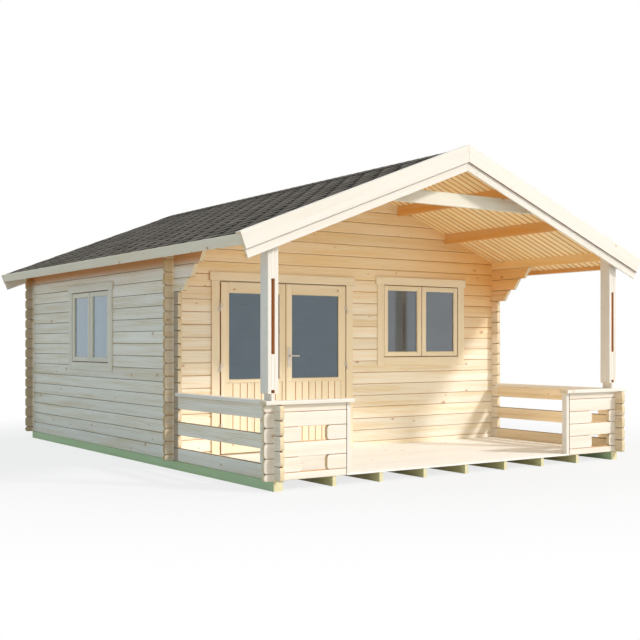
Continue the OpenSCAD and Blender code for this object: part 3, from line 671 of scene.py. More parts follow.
frontLeft = Joinery(21)
frontRight = Joinery(22)
frontGable = Joinery(23)
backWall = Joinery(24)
winRight = window["frontLeft"] + window["width"]
winFoot = window["head"] - window["height"]
for low, high in rowsOf(walls["foot"], walls["split"], halfRow):
    tone = frontLeft.dice.random()
    crossRow(frontLeft, -walls["reach"], walls["doorLeft"], low, high, tone, walls["front"])
    tone = frontRight.dice.random()
    runs = [(walls["doorRight"], walls["reach"])]
    if low > winFoot - same:
        runs = [(walls["doorRight"], window["frontLeft"]), (winRight, walls["reach"])]
    for x0, x1 in runs:
        crossRow(frontRight, x0, x1, low, high, tone, walls["front"])
gableRows(frontGable, walls["front"], walls["split"])
gableRows(backWall, walls["back"] - walls["thick"], walls["foot"])
frontFinish = ("front", "logEnds", "joint", "endGapShade")
fit(frontLeft.make("frontLogsLeft", *frontFinish), "logs", "front_wall_left")
fit(frontRight.make("frontLogsRight", *frontFinish), "logs", "front_wall_right")
fit(frontGable.make("frontGableLogs", *frontFinish), "logs", "front_gable")
fit(backWall.make("backWallLogs", "logs", "logEnds", "greyJoint", "endGapShade"), "logs", "back_wall")
print("front and back walls stacked")


# railing: side rails, front panels with openings, caps and end trims
def sideRails(side, node):
    logs = Joinery(31)
    low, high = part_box(node)
    for k, (z0, z1) in enumerate(rowsOf(low.z, high.z)):
        endY = high.y if k % 2 == 0 else low.y + rails["block"]
        logs.push(sideWall, logShape(low.y, endY, z0, z1, low.x, high.x, roundEnd), sideTones[(side, k)])
    return logs


def frontRail(node, holeX, seed):
    logs = Joinery(seed)
    low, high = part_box(node)
    if low.x > 0:
        low.x += rails["trimGap"]
    else:
        high.x -= rails["trimGap"]
    start, end = cornerEnds(low.x, high.x)
    for k, (z0, z1) in enumerate(rowsOf(low.z, high.z, halfRow)):
        runs = [(low.x, high.x, start, end)]
        if k in rails["open"]:
            runs = [(low.x, holeX, start, roundEnd), (holeX + rails["hole"], high.x, roundEnd, end)]
        tone = logs.dice.random()
        for x0, x1, first, last in runs:
            logs.push(crossWall, logShape(x0, x1, z0, z1, low.y, high.y, first, last), tone)
    return logs


for side, name in sides:
    node = name + "_side_rails"
    flank = sideRails(side, node)
    fit(flank.make(name + "SideRails", "rails", "railEnds", "greyJoint", "endGapShade"), "logs", node)
holes = {"left": rails["holeOff"], "right": rails["holeOff"] + rails["holeShift"] - rails["trim"]}
for seed, (name, holeOff) in enumerate(holes.items(), 33):
    node = name + "_front_rail"
    panel = frontRail(node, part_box(node)[0].x + holeOff, seed)
    fit(panel.make(name + "FrontRail", "railing", "railEnds", "joint", "endGapShade"), "logs", node)

cap = {"width": 0.120, "start": 1.477, "edge": 0.004}
caps = Joinery(35)
capLow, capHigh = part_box("rail_caps")
capMid = (walls["inner"] + walls["outer"]) / 2
capBack = capLow.y + cap["width"]
for side in (-1, 1):
    front = sorted((side * cap["start"], side * capHigh.x))
    flank = sorted((side * (capMid - cap["width"] / 2), side * (capMid + cap["width"] / 2)))
    caps.push(flatCross, plank(*front, capLow.y, capBack, capLow.z, capHigh.z, cap["edge"]))
    caps.push(flatDeep, plank(capBack, capHigh.y, *flank, capLow.z, capHigh.z, cap["edge"]))
fit(caps.make("railCaps", "trim", "trimEnds"), "trim", "rail_caps")

trims = Joinery(36)
trimLow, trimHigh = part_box("rail_end_trims")
for side in (-1, 1):
    x0, x1 = sorted((side * trimHigh.x, side * (trimHigh.x - rails["trim"])))
    trims.push(uprightSide, plank(trimLow.z, trimHigh.z, trimLow.y, trimHigh.y, x0, x1, rails["trimEdge"]))
# painted shadow on the trim faces that meet the railing logs
trims.seam(0, -trimHigh.x, trimHigh.x)
fit(trims.make("railEndTrims", "trim", "trimEnds", "seam"), "trim", "rail_end_trims")
print("railing built")


# posts: two cheeks round a core with two slots
post = {"cheek": 0.040, "foot": 0.064, "lap": 0.005, "smallSlot": 0.035, "middle": 0.330, "longSlot": 0.696,
        "edge": 0.004, "coreIn": 0.001, "coreEdge": 0.0015}
for side, name in sides:
    parts = Joinery(40 + side)
    low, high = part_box(name + "_post")
    footTop = low.z + post["foot"]
    middle = footTop + post["smallSlot"]
    slotLow = middle + post["middle"]
    slotTop = slotLow + post["longSlot"]
    coreX = (low.x + post["cheek"], high.x - post["cheek"])
    for x0, x1 in ((low.x, coreX[0]), (coreX[1], high.x)):
        parts.push(uprightSide, plank(footTop, high.z, low.y, high.y, x0, x1, post["edge"]))
    # painted shade on the inner faces of the cheeks, inside the slots
    parts.seam(0, *coreX)
    core = (low.y + post["coreIn"], high.y - post["coreIn"], *coreX, post["coreEdge"])
    for z0, z1 in ((low.z, footTop + post["lap"]), (middle, slotLow), (slotTop, walls["top"])):
        parts.push(uprightSide, plank(z0, z1, *core))
    fit(parts.make(name + "Post", "trim", "trimEnds", "slot"), "beams", name + "_post")

# beams under the roof
beams = {"wide": 0.045, "high": 0.122, "inner": 0.714, "outer": 1.490, "edge": 0.003}
beamLow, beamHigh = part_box("mid_purlins")


def beam(outline):  # from its cross section, the whole length of the roof
    points, faces, slots = board(outline, beamLow.y, beamHigh.y, beams["edge"])
    return [(c, b, a) for a, b, c in points], faces, [1, 1] + [0] * (len(slots) - 2)


def underSlope(near, far, foot):  # cross section cut to the slope
    return [(near, foot), (far, foot), (far, roofHeight(far)), (near, roofHeight(near))]


plates = Joinery(51)
purlins = Joinery(52)
ridgeBeam = Joinery(53)
for side in (-1, 1):
    plates.push(sideWall, beam(underSlope(side * walls["inner"], side * walls["outer"], walls["top"])))
    for x0 in (beams["inner"], beams["outer"]):
        foot = roofHeight(x0) - beams["high"]
        purlins.push(sideWall, beam(underSlope(side * x0, side * (x0 + beams["wide"]), foot)))
half = beams["wide"] / 2
foot = walls["ridge"] - beams["high"]
ridgeBeam.push(sideWall, beam([(-half, foot), (half, foot), (half, roofHeight(half)), (0, walls["ridge"]),
                               (-half, roofHeight(half))]))
fit(plates.make("wallPlates", "beams", "logEnds"), "beams", "wall_plates")
fit(purlins.make("midPurlins", "purlin", "logEnds"), "beams", "mid_purlins")
fit(ridgeBeam.make("ridgePurlin", "purlin", "logEnds"), "beams", "ridge_purlin")
tie = Joinery(54)
tieLow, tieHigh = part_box("collar_tie")
slack = (tieHigh.z - tieLow.z) / math.tan(roof["pitch"])
tie.push(crossWall, board([(tieLow.x, tieLow.z), (tieHigh.x, tieLow.z), (tieHigh.x - slack, tieHigh.z),
                           (tieLow.x + slack, tieHigh.z)], tieLow.y, tieHigh.y, beams["edge"]))
# the tie takes the darker trim, painted shade
fit(tie.make("collarTie", "shadedTrim", "trimEnds"), "beams", "collar_tie")
print("posts and beams built")


# rows of equal pieces, laid out by geometry nodes
def rowsTree():
    tree = bpy.data.node_groups.new("pieceRows", "GeometryNodeTree")
    face = tree.interface
    kinds = (("Piece", "Geometry"), ("In Row", "Int"), ("Count", "Int"), ("Step", "Vector"),
             ("Row Step", "Vector"), ("Seed", "Int"), ("Finish", "Material"), ("Edge Finish", "Material"))
    for name, kind in kinds:
        face.new_socket(name=name, in_out="INPUT", socket_type="NodeSocket" + kind)
    face.new_socket(name="Rows", in_out="OUTPUT", socket_type="NodeSocketGeometry")
    w = Wire(tree)
    given = w.add("NodeGroupInput")
    index = w.add("GeometryNodeInputIndex")
    row = w.math("FLOOR", index / given.pick("In Row"))
    column = index - row * given.pick("In Row")
    sideways = w.add("ShaderNodeVectorMath", {"operation": "SCALE"}, {0: given.pick("Step"), "Scale": column})
    upwards = w.add("ShaderNodeVectorMath", {"operation": "SCALE"}, {0: given.pick("Row Step"), "Scale": row})
    spot = w.add("ShaderNodeVectorMath", {"operation": "ADD"}, {0: sideways, 1: upwards})
    spots = w.add("GeometryNodePoints", None, {"Count": given.pick("Count"), "Position": spot})
    copies = w.add("GeometryNodeInstanceOnPoints", None, {"Points": spots, "Instance": given.pick("Piece")})
    tone = w.add("FunctionNodeRandomValue", {"data_type": "FLOAT"}, {"Seed": given.pick("Seed")}, out=1)
    toned = w.add("GeometryNodeStoreNamedAttribute", {"data_type": "FLOAT", "domain": "INSTANCE"},
                  {"Geometry": copies, "Name": "tone", "Value": tone})
    real = w.add("GeometryNodeRealizeInstances", None, {"Geometry": toned})
    coated = w.add("GeometryNodeSetMaterial", None, {"Geometry": real, "Material": given.pick("Finish")})
    marked = w.add("GeometryNodeInputNamedAttribute", {"data_type": "FLOAT"}, {"Name": "edge"}) > 0.5
    coated = w.add("GeometryNodeSetMaterial", None, {
        "Geometry": coated, "Selection": marked, "Material": given.pick("Edge Finish")})
    output = tree.nodes.new("NodeGroupOutput")
    tree.links.new(coated.socket, output.inputs["Rows"])
    return tree


pieceRows = rowsTree()


def repeat(name, joinery, material, edgeMaterial, inRow, step, seed, rowCount=1, rowStep=(0, 0, 0)):
    piece = joinery.make(name + "Piece", material, edgeMaterial)
    edge = piece.data.attributes.new("edge", "FLOAT", "FACE")
    edge.data.foreach_set("value", [float(face.material_index) for face in piece.data.polygons])
    piece.data.attributes.remove(piece.data.attributes["tone"])  # each copy gets its own
    rows = piece.modifiers.new("rows", "NODES")
    rows.node_group = pieceRows
    values = {"In Row": inRow, "Count": inRow * rowCount, "Step": tuple(step), "Row Step": tuple(rowStep),
              "Seed": seed, "Finish": finish[material], "Edge Finish": finish[edgeMaterial]}
    for item in pieceRows.interface.items_tree:
        if item.name in values:
            rows[item.identifier] = values[item.name]
    graph = bpy.context.evaluated_depsgraph_get()
    laid = piece.evaluated_get(graph)
    mesh = bpy.data.meshes.new_from_object(laid, preserve_all_data_layers=True, depsgraph=graph)
    bpy.data.objects.remove(piece)
    return linked(name, mesh)


ridgePoint = (0, 0, walls["ridge"])


def slopeFrame(side):  # down the slope and off the roof
    down = Vector((side * math.cos(roof["pitch"]), 0, -math.sin(roof["pitch"])))
    off = Vector((side * math.sin(roof["pitch"]), 0, math.cos(roof["pitch"])))
    return down, off


# roof boards, shingle courses and ridge caps
roofLow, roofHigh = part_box("roof_boards_left")
boards = {"count": 73, "groove": 0.010, "gap": 0.0006, "start": 0.004}
course = {"exposed": 0.1675, "hidden": 0.030, "tabs": 21, "slantWide": 0.125, "slantHigh": 0.152,
          "thick": 0.0024, "band": 0.044, "bandThick": 0.0006, "edge": 0.0002, "feltEdge": 0.001}
roofSpan = roofHigh.y - roofLow.y
boardStep = roofSpan / boards["count"]
tabStep = roofSpan / course["tabs"]
shingleStart = 2 * roof["boardGap"] + roof["boards"]
courses = int(roof["length"] / course["exposed"])
courseStep = course["thick"] + course["bandThick"]
courseTilt = courseStep / course["exposed"]
tabLength = course["exposed"] + course["hidden"]
feltTop = shingleStart + (roof["layers"] - courseStep - tabLength * courseTilt)


def tabOutline(y0, y1, lowEdge, startCut, endCut, grow):  # grow moves the slanted edges outwards
    wide, high = course["slantWide"], course["slantHigh"]
    slant = math.hypot(wide, high)
    upEdge = lowEdge - tabLength
    notch = lowEdge - high + grow * slant / wide
    back = wide - grow * slant / high
    outline = [(upEdge, y0)]
    outline += [(notch, y0), (lowEdge, y0 + back)] if startCut else [(lowEdge, y0)]
    outline += [(lowEdge, y1 - back), (notch, y1)] if endCut else [(lowEdge, y1)]
    return outline + [(upEdge, y1)]


# a tab lies on the course below, over its own dark band
def pushTab(joinery, slope, y0, y1, lowEdge, startCut, endCut):
    middle = course["bandThick"]
    rise = feltTop - (lowEdge - tabLength) * courseTilt
    for low, high, grow in ((0.0, middle, course["band"]), (middle, courseStep, 0.0)):
        outline = tabOutline(y0, y1, lowEdge, startCut, endCut, grow)
        points, faces, slots = board(outline, low, high, course["edge"])
        lifted = [(a, b, rise + a * courseTilt + c) for a, b, c in points]
        joinery.push(slope, (lifted, faces, slots), slot=1 if grow else 0)


def groovedBoard(a0, a1, b0, b1, c0, c1, groove):  # open V joints on the lower face
    section = [(b0 + groove, c0), (b1 - groove, c0), (b1, c0 + groove), (b1, c1), (b0, c1), (b0, c0 + groove)]
    points = [(a, b, c) for a in (a0, a1) for b, c in section]
    count = len(section)
    faces = [list(range(count)), list(range(count, 2 * count))]
    faces += [[i, (i + 1) % count, count + (i + 1) % count, count + i] for i in range(count)]
    grooveSides = (1, 5)
    return points, faces, [0, 0] + [1 if i in grooveSides else 0 for i in range(count)]


evenCount = (courses + 1) // 2
oddCount = courses // 2
halfTab = tabStep / 2
tabRows = {  # first tab's ends, courses up from the eave, tabs in a row, rows, slanted ends
    "Even": (roofLow.y, roofLow.y + tabStep, 0, course["tabs"], evenCount, True, True),
    "Odd": (roofLow.y + halfTab, roofLow.y + tabStep * 1.5, 1, course["tabs"] - 1, oddCount, True, True),
    "Front": (roofLow.y, roofLow.y + halfTab, 1, 1, oddCount, False, True),
    "Back": (roofHigh.y - halfTab, roofHigh.y, 1, 1, oddCount, True, False),
}
for side, name in sides:
    down, off = slopeFrame(side)
    slope = axes(down, ey, off, ridgePoint)
    single = Joinery(61)
    single.push(slope, groovedBoard(boards["start"], roof["length"], roofLow.y + boards["gap"],
                                    roofLow.y + boardStep - boards["gap"], roof["boardGap"],
                                    roof["boardGap"] + roof["boards"], boards["groove"]))
    ceiling = repeat(name + "RoofBoards", single, "ceiling", "groove", boards["count"], ey * boardStep,
                     62 + side)
    fit(ceiling, "roof_boards", "roof_boards_" + name)

    felt = Joinery(63)
    felt.push(slope, plank(0.0, roof["length"], roofLow.y, roofHigh.y, shingleStart, feltTop,
                           course["feltEdge"]))
    fit(felt.make(name + "Felt", "felt"), "shingles", "shingles_" + name)
    twoUp = -down * course["exposed"] * 2
    for seed, (place, (y0, y1, first, inRow, rowCount, startCut, endCut)) in enumerate(tabRows.items(), 65):
        tab = Joinery(64)
        pushTab(tab, slope, y0, y1, roof["length"] - first * course["exposed"], startCut, endCut)
        laid = repeat(name + "Tabs" + place, tab, "shingle", "felt", inRow, ey * tabStep, seed, rowCount,
                      twoUp)
        fit(laid, "shingles")

ridgeCap = {"wing": 0.165, "step": 0.158, "length": 0.200, "thick": 0.003, "lift": 0.004, "edge": 0.001}
capCount = int((roofSpan - ridgeCap["length"]) / ridgeCap["step"]) + 1
capStep = (roofSpan - ridgeCap["length"]) / (capCount - 1)
top = shingleStart + roof["layers"]
folded = Joinery(68)
for side in (-1, 1):
    down, off = slopeFrame(side)
    points, faces, slots = plank(-top * math.tan(roof["pitch"]), ridgeCap["wing"], roofLow.y,
                                 roofLow.y + ridgeCap["length"], top, top + ridgeCap["thick"],
                                 ridgeCap["edge"])
    raised = [(a, b, c + ridgeCap["lift"] * (1 - (b - roofLow.y) / ridgeCap["length"])) for a, b, c in points]
    folded.push(axes(down, ey, off, ridgePoint), (raised, faces, slots))
fit(repeat("ridgeCaps", folded, "shingle", "shingle", capCount, ey * capStep, 69), "shingles")
print("roof laid,", courses, "courses")


# fascias, bargeboards and edge battens
barge = {"thick": 0.020, "fascia": 0.104, "fasciaUp": 0.052, "up": 0.080, "wide": 0.169, "show": 0.084,
         "lower": 0.145, "over": 0.065, "batten": 0.070, "backUp": 0.050, "backWide": 0.139, "gap": 0.0005}


def slopeBoard(low, high, end):  # outline down the slope and off it, plumb cut at the ridge
    lean = math.tan(roof["pitch"])
    return [(-low * lean, low), (end, low), (end, high), (-high * lean, high)]


fascias = Joinery(71)
upper = Joinery(72)
lower = Joinery(73)
rear = Joinery(74)
longEnd = roof["length"] + barge["over"]
flushEnd = roof["length"] + barge["thick"]
bottom = barge["up"] - barge["wide"] - barge["show"]
lowerTop = bottom + barge["lower"]
fasciaLow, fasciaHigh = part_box("eave_fascias")
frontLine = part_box("front_bargeboards")[0].y
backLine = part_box("back_bargeboards")[1].y
frontIn = frontLine + barge["thick"]
backIn = backLine - barge["thick"]
for side in (-1, 1):
    down, off = slopeFrame(side)
    onEdge = axes(down, off, ey, ridgePoint)
    alongEave = axes(ey, off, down, ridgePoint)
    points, faces, slots = plank(fasciaLow.y, fasciaHigh.y, barge["fasciaUp"] - barge["fascia"],
                                 barge["fasciaUp"], roof["length"] + barge["gap"], flushEnd)
    slots[0] = 2  # the face turned to the wall takes the orange under-roof finish, painted warm bounce light
    fascias.push(alongEave, (points, faces, slots))
    outline = slopeBoard(barge["up"] - barge["wide"], barge["up"], longEnd)
    points, faces, slots = board(outline, frontLine, frontIn)
    slots[6] = 2  # the lower edge lies in its own shadow
    upper.push(onEdge, (points, faces, slots))
    outline = slopeBoard(barge["fasciaUp"] + barge["gap"], barge["up"], longEnd)
    upper.push(onEdge, board(outline, frontIn, frontIn + barge["batten"]))
    lower.push(onEdge, board(slopeBoard(bottom, lowerTop, longEnd), frontIn, frontIn + barge["thick"]))
    outline = slopeBoard(barge["backUp"] - barge["backWide"], barge["backUp"], flushEnd)
    rear.push(onEdge, board(outline, backIn, backLine))
    rear.push(onEdge, board(slopeBoard(bottom, lowerTop, flushEnd), backIn - barge["thick"], backIn))
fit(fascias.make("eaveFascias", "fascia", "trimEnds", "purlin"), "trim", "eave_fascias")
fit(upper.make("frontBargeboards", "trim", "trimEnds", "seam"), "trim", "front_bargeboards")
fit(lower.make("frontTrimBoards", "trim", "trimEnds"), "trim", "front_trim_boards")
fit(rear.make("backBargeboards", "trim", "trimEnds"), "trim", "back_bargeboards")
print("bargeboards hung")


# base, floor and deck
base = {"wide": 0.100, "joist": 0.045, "joists": 7, "spacing": 0.562, "edge": 0.003}
baseLow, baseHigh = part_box("corner_bearers")
baseSize = (baseLow.y, baseHigh.y, baseLow.z, baseHigh.z)
bearers = Joinery(81)
for x0 in (baseLow.x, baseHigh.x - base["wide"]):
    bearers.push(sideWall, plank(*baseSize, x0, x0 + base["wide"], base["edge"]))
fit(bearers.make("cornerBearers", "treated", "treatedEnds"), "treated", "corner_bearers")
joists = Joinery(82)
for k in range(base["joists"]):
    x0 = (k - (base["joists"] - 1) / 2) * base["spacing"] - base["joist"] / 2
    joists.push(sideWall, plank(*baseSize, x0, x0 + base["joist"]))
fit(joists.make("floorJoists", "joist", "treatedEnds"), "treated", "floor_joists")

deck = {"boards": 21, "gap": 0.0015, "edge": 0.0025}
roomFloor = {"boards": 47, "gap": 0.0004, "edge": 0.0015}


def layBoards(name, seed, sizes, low, high, startY):
    step = (high.y - startY) / sizes["boards"]
    ends = (startY + sizes["gap"], startY + step - sizes["gap"])
    single = Joinery(seed)
    single.push(flatCross, plank(low.x, high.x, *ends, low.z, high.z, sizes["edge"]))
    return repeat(name, single, "deck", "trimEnds", sizes["boards"], ey * step, seed + 1)


deckLow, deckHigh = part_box("veranda_deck")
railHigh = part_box("left_front_rail")[1]
fit(layBoards("deckBoards", 83, deck, deckLow, deckHigh, railHigh.y), "floor", "veranda_deck")
nosing = Joinery(85)
nosing.push(flatCross, plank(railHigh.x, -railHigh.x, deckLow.y, railHigh.y - deck["gap"], deckLow.z,
                             deckHigh.z, deck["edge"]))
fit(nosing.make("deckNosing", "deck", "trimEnds"), "floor")
floorLow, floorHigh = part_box("cabin_floor")
fit(layBoards("floorBoards", 86, roomFloor, floorLow, floorHigh, floorLow.y), "floor", "cabin_floor")
print("base and floors laid")


# door frame, casing and leaves
door = {"jamb": 0.045, "head": 0.070, "sill": 0.030, "sillEdge": 0.004, "stop": 0.023, "stopWide": 0.020,
        "lap": 0.001, "stileHinge": 0.105, "stileMeet": 0.079, "stileEdge": 0.003, "railIn": 0.0005,
        "topRail": 0.122, "bottomRail": 0.075, "glassUp": 0.819, "lockRail": 0.034, "recess": 0.010,
        "pane": 0.006, "reveal": 0.006, "panelBoards": 8, "panelOver": 0.038, "panelGap": 0.0006,
        "panelEdge": 0.005}
bead = {"glass": 0.005, "glassIn": 0.006, "panel": 0.006, "panelIn": 0.004, "edge": 0.003}
casing = {"wide": 0.100, "thick": 0.018, "head": 0.098, "headThick": 0.024, "over": 0.025, "edge": 0.003,
          "headEdge": 0.004}
frameLow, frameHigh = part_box("door_frame")
doorFrame = Joinery(91)
jambTop = frameHigh.z - door["head"]
sillTop = frameLow.z + door["sill"]
frameDepth = (frameLow.y, frameHigh.y)
stopDepth = (frameHigh.y - door["stop"], frameHigh.y)
for x0, lean in ((frameLow.x, 1), (frameHigh.x, -1)):
    face = sorted((x0, x0 + lean * door["jamb"]))
    doorFrame.push(uprightFront, plank(sillTop, jambTop, *face, *frameDepth))
    stop = sorted((x0 + lean * (door["jamb"] - door["lap"]), x0 + lean * (door["jamb"] + door["stopWide"])))
    doorFrame.push(uprightFront, plank(sillTop, jambTop, *stop, *stopDepth))
doorFrame.push(crossWall, plank(frameLow.x, frameHigh.x, jambTop, frameHigh.z, *frameDepth))
doorFrame.push(crossWall, plank(frameLow.x, frameHigh.x, frameLow.z, sillTop, *frameDepth, door["sillEdge"]))
stopEnds = (frameLow.x + door["jamb"], frameHigh.x - door["jamb"])
doorFrame.push(crossWall, plank(*stopEnds, jambTop - door["stopWide"], jambTop + door["lap"], *stopDepth))
fit(doorFrame.make("doorFrame", "joinery", "trimEnds"), "joinery", "door_frame")

casingLow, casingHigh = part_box("door_casing")
doorCasing = Joinery(92)
sideTop = casingHigh.z - casing["head"]
outerEdges = (casingLow.x + casing["over"], casingHigh.x - casing["over"])
innerEdges = (outerEdges[0] + casing["wide"], outerEdges[1] - casing["wide"])
for x0 in (outerEdges[0], innerEdges[1]):
    doorCasing.push(uprightFront, plank(casingLow.z, sideTop, x0, x0 + casing["wide"],
                                        casingHigh.y - casing["thick"], casingHigh.y, casing["edge"]))
doorCasing.push(crossWall, plank(casingLow.x, casingHigh.x, sideTop, casingHigh.z, casingLow.y, casingHigh.y,
                                 casing["headEdge"]))
# painted shade on the casing faces beside the leaves and under the head, painted shadow on the outer side
# faces
doorCasing.seam(0, *innerEdges)
doorCasing.seam(2, sideTop)
doorCasing.seam(0, casingLow.x, *outerEdges, casingHigh.x, slot=3)
fit(doorCasing.make("doorCasing", "joinery", "trimEnds", "seam", "joint"), "joinery", "door_casing")


def shrunk(opening, gap):
    u0, u1, z0, z1 = opening
    return u0 + gap, u1 - gap, z0 + gap, z1 - gap


# two uprights and two lengths between them, round an opening
def strips(joinery, outer, inner, depth, edge, sideways=False, slot=None):
    stand, lie = turns[sideways]
    for c, d in ((outer[0], inner[0]), (inner[1], outer[1])):
        joinery.push(stand, plank(*outer[2:], c, d, *depth, edge), slot=slot)
    for c, d in ((outer[2], inner[2]), (inner[3], outer[3])):
        joinery.push(lie, plank(*inner[:2], c, d, *depth, edge), slot=slot)


def doorLeaf(node, hingeSide, body):
    low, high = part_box(node)
    leaf = Joinery(93)
    leftStile, rightStile = (door["stileHinge"], door["stileMeet"])[::-hingeSide]
    x0 = low.x + leftStile
    x1 = high.x - rightStile
    glassLow = low.z + door["glassUp"]
    glassHigh = high.z - door["topRail"]
    panelLow = low.z + door["bottomRail"]
    panelHigh = glassLow - door["lockRail"]
    low.x += door["reveal"] if hingeSide < 0 else 0.0
    high.x -= door["reveal"] if hingeSide > 0 else 0.0
    high.z -= door["reveal"]
    p0 = x0 - door["panelOver"]
    p1 = x1 + door["panelOver"]
    for outer, upper, lower in ((low.x, x0, p0), (high.x, x1, p1)):  # stiles, narrower beside the panel
        outline = [(low.z, outer), (high.z, outer), (high.z, upper), (panelHigh, upper), (panelHigh, lower),
                   (low.z, lower)]
        leaf.push(uprightFront, board(outline, low.y, high.y, door["stileEdge"]))
    railDepth = (low.y + door["railIn"], high.y - door["railIn"])
    lengths = ((p0, p1, low.z, panelLow), (x0, x1, panelHigh, glassLow), (x0, x1, glassHigh, high.z))
    for a, b, z0, z1 in lengths:
        leaf.push(crossWall, plank(a, b, z0, z1, *railDepth))
    paneFront = (low.y + high.y - door["pane"]) / 2
    paneBack = (low.y + high.y + door["pane"]) / 2
    glass = (x0, x1, glassLow, glassHigh)
    panel = (p0, p1, panelLow, panelHigh)
    for opening, width, depth in ((glass, bead["glass"], (low.y + bead["glassIn"], paneFront)),
                                  (glass, bead["glass"], (paneBack, high.y - bead["glassIn"])),
                                  (panel, bead["panel"], (low.y + bead["panelIn"], low.y + door["recess"]))):
        strips(leaf, opening, shrunk(opening, width), depth, bead["edge"])
    # painted shade on the leaf's edge faces, for the gaps round it
    leaf.seam(0, low.x, high.x)
    leaf.seam(2, low.z, high.z, panelHigh)
    name = body.replace("_leaf", "Leaf")
    fit(leaf.make(name + "Frame", "joinery", "trimEnds", "joint"), "joinery", node, body=body)
    step = (p1 - p0) / door["panelBoards"]
    single = Joinery(94)
    points, faces = plank(panelLow, panelHigh, p0 + door["panelGap"], p0 + step - door["panelGap"],
                          low.y + door["recess"], high.y - door["recess"], door["panelEdge"])[:2]
    single.push(uprightFront, (points, faces, [0, 0] + [1] * (len(faces) - 2)))
    panel = repeat(name + "Panel", single, "joinery", "joint", door["panelBoards"], ex * step, 95 + hingeSide)
    fit(panel, "joinery", body=body)


for side, name in sides:
    doorLeaf("door_" + name + "_leaf", side, name + "_leaf")
print("doors joined")


# windows: frame, two sashes with beads, casing boards
def windowParts(frameParts, casingParts, u0, z0, face, out, sideways):
    stand, lie = turns[sideways]
    # the side windows' outer parts take the darker trim, painted shade
    outside = 3 if sideways else 0
    rebate, sash, lap = window["rebate"], window["sash"], window["lap"]
    whole = (u0, u0 + window["width"], z0, z0 + window["height"])
    light = shrunk(whole, window["frame"])
    a0, a1, b0, b1 = light

    def span(near, far):  # depth measured inwards from the wall face
        return sorted((face - out * near, face - out * far))

    # the frame round the sashes takes painted shade, for the gap lines round them
    strips(frameParts, whole, light, span(0, walls["thick"]), softEdge, sideways, slot=2)
    middle = (a0 + a1) / 2
    behind = span(lap, walls["thick"])
    lips = ((middle - window["joint"], middle + window["joint"]), (a0, a0 + rebate + lap),
            (a1 - rebate - lap, a1))
    for c, d in lips:
        frameParts.push(stand, plank(b0, b1, c, d, *behind), slot=2)
    for c, d in ((b0, b0 + rebate + lap), (b1 - rebate - lap, b1)):
        frameParts.push(lie, plank(a0, a1, c, d, *behind), slot=2)
    sashDepth = span(-window["out"], window["thick"] - window["out"])
    paneAt = -window["out"] + (window["thick"] - door["pane"]) / 2
    beads = ((window["outerBead"], span(-lap, paneAt)),
             (window["innerBead"], span(paneAt + door["pane"], window["beadBack"])))
    half = window["joint"] / 2
    for a, b, leftIn, rightIn in ((a0, middle - half, rebate, 0.0), (middle + half, a1, 0.0, rebate)):
        glass = (a + sash, b - sash, b0 + sash, b1 - sash)
        sashEdge = (a + leftIn, b - rightIn, b0 + rebate, b1 - rebate)
        strips(frameParts, sashEdge, glass, sashDepth, window["edge"], sideways, outside)
        for width, depth in beads:
            strips(frameParts, glass, shrunk(glass, width), depth, bead["edge"], sideways)
    wide, over = casing["wide"], casing["over"]
    thin = span(-casing["thick"], 0)
    thick = span(-casing["headThick"], 0)
    for c, d in ((a0 - wide, a0), (a1, a1 + wide)):
        casingParts.push(stand, plank(b0 - wide, b1, c, d, *thin, casing["edge"]), slot=outside)
    casingParts.push(lie, plank(a0, a1, b0 - wide, b0, *thin, casing["edge"]), slot=outside)
    head = plank(a0 - wide - over, a1 + wide + over, b1, b1 + casing["head"], *thick, casing["headEdge"])
    casingParts.push(lie, head, slot=outside)


windowFrames = Joinery(101)
windowCasings = Joinery(102)
windowParts(windowFrames, windowCasings, window["frontLeft"], winFoot, walls["front"], -1, False)
for side in (-1, 1):
    windowParts(windowFrames, windowCasings, window["sideFront"], window["foot"], side * walls["outer"],
                side, True)
windowFinish = ("joinery", "trimEnds", "seam", "shadedTrim")
fit(windowFrames.make("windowFrames", *windowFinish), "joinery", "window_frames")
fit(windowCasings.make("windowCasings", *windowFinish), "joinery", "window_casings")

# kept nodes get their finish
coats = {
    "doorGlass": ("door_left_glass", "door_right_glass"), "windowGlass": ("window_panes",),
    "steel": ("door_left_hinges", "door_right_hinges", "hinge_pins", "lock_plates"),
    "handle": ("door_lever",),
}
for material, coated in coats.items():
    for node in coated:
        nodes[node].data.materials.clear()
        nodes[node].data.materials.append(finish[material])
print("windows and fittings done")


# camera at the photograph's viewing angle, level, with the rise of the frame in its shift
view = {"place": (-7.334, -11.4745, 1.360), "heading": 34.34, "focalPixels": 1031.7, "imagePixels": 640,
        "rise": 23.23, "sensor": 36.0}
cameraData = bpy.data.cameras.new("viewCamera")
cameraData.sensor_width = view["sensor"]
cameraData.lens = view["focalPixels"] / view["imagePixels"] * view["sensor"]
cameraData.shift_y = view["rise"] / view["imagePixels"]
camera = linked("viewCamera", cameraData)
camera.location = view["place"]
camera.rotation_euler = (math.radians(90), 0, -math.radians(view["heading"]))
scene.camera = camera

# soft key from the front right, a fill that is cool from the left and warm from the front right
light = {"side": 38, "height": 38, "key": 2.2, "spread": 8, "sun": (0.97, 0.98, 1.0),
         "cool": (0.66, 0.87, 1.0), "coolFill": 0.60, "warm": (0.985, 0.885, 0.71), "warmFill": 1.03,
         "toX": 0.8, "toFront": 0.6, "blend": (-0.35, 0.75)}
keyData = bpy.data.lights.new("keyLight", "SUN")
keyData.energy = light["key"]
keyData.angle = math.radians(light["spread"])
keyData.color = light["sun"]
key = linked("keyLight", keyData)
key.rotation_euler = (math.radians(90 - light["height"]), 0, math.radians(light["side"]))

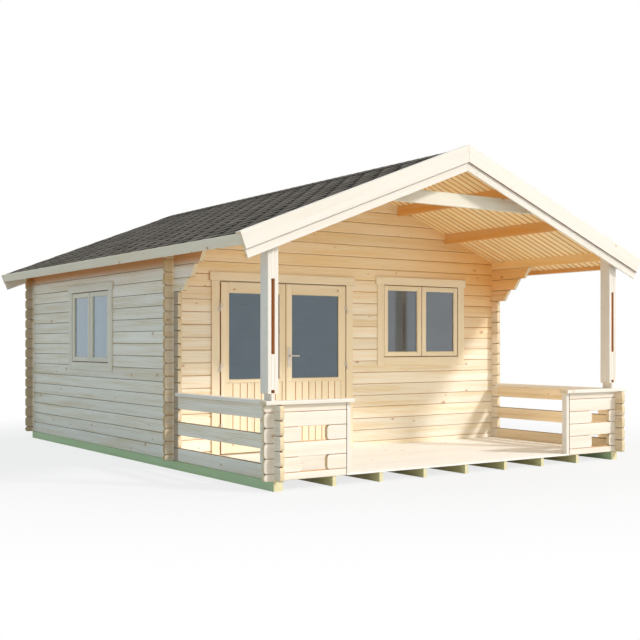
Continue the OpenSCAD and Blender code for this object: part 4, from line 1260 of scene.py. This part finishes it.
# light that the sunny deck throws up
bounce = {"size": (3.0, 1.0), "place": (0.9, -2.75, 0.25), "power": 7.0, "colour": (1.0, 0.88, 0.66)}
bounceData = bpy.data.lights.new("deckBounce", "AREA")
bounceData.shape = "RECTANGLE"
bounceData.size, bounceData.size_y = bounce["size"]
bounceData.energy = bounce["power"]
bounceData.color = bounce["colour"]
bounceLight = linked("deckBounce", bounceData)
bounceLight.location = bounce["place"]
bounceLight.rotation_euler = (math.radians(180), 0, 0)
bounceLight.visible_camera = False
bounceLight.visible_glossy = False
bounceLight.visible_transmission = False


def seenDirectly(w):  # 1 for what the camera, a mirror or a pane shows
    path = w.add("ShaderNodeLightPath", out="Is Camera Ray")
    mirrored = w.math("MAXIMUM", path.pick("Is Glossy Ray"), path.pick("Is Transmission Ray"))
    return w.math("MAXIMUM", path, mirrored)


pureWhite = (1.0, 1.0, 1.0, 1.0)
world = bpy.data.worlds.new("studio")
world.use_nodes = True
world.node_tree.nodes.clear()
w = Wire(world.node_tree)
rayX, rayY = split(w, w.add("ShaderNodeTexCoord", out="Generated"))[:2]
toRight = spread(w, rayX * light["toX"] - rayY * light["toFront"], *light["blend"])
cool = tuple(c * light["coolFill"] for c in light["cool"]) + (1.0,)
warm = tuple(c * light["warmFill"] for c in light["warm"]) + (1.0,)
fillLight = w.add("ShaderNodeBackground", None, {"Color": mixColour(w, toRight, cool, warm), "Strength": 1.0})
whiteBack = w.add("ShaderNodeBackground", None, {"Color": pureWhite, "Strength": 1.0})
sky = w.add("ShaderNodeMixShader", None, {0: seenDirectly(w), 1: fillLight, 2: whiteBack})
showSurface(w, sky, "World")
scene.world = world

ground = {"half": 60, "grey": (0.62, 0.62, 0.61, 1.0), "fadeFrom": 3.5, "fadeTo": 8.0, "leastWhite": 0.78}
half = ground["half"]
floorMesh = bpy.data.meshes.new("studioFloor")
groundCorners = [(-half, -half, 0), (half, -half, 0), (half, half, 0), (-half, half, 0)]
floorMesh.from_pydata(groundCorners, [], [[0, 1, 2, 3]])
floor = linked("studioFloor", floorMesh)
floorMat, w = newMaterial("studioFloor")
reach = w.add("ShaderNodeVectorMath", {"operation": "LENGTH"}, {0: objectPlace(w)}, out="Value")
matte = w.add("ShaderNodeBsdfDiffuse", None, {"Color": ground["grey"]})
white = w.add("ShaderNodeEmission", None, {"Color": pureWhite})
fade = seenDirectly(w) * spread(w, reach, ground["fadeFrom"], ground["fadeTo"], ground["leastWhite"], 1.0)
showSurface(w, w.add("ShaderNodeMixShader", None, {0: fade, 1: matte, 2: white}))
floorMesh.materials.append(floorMat)
scene.view_settings.view_transform = "Standard"
print("studio set")
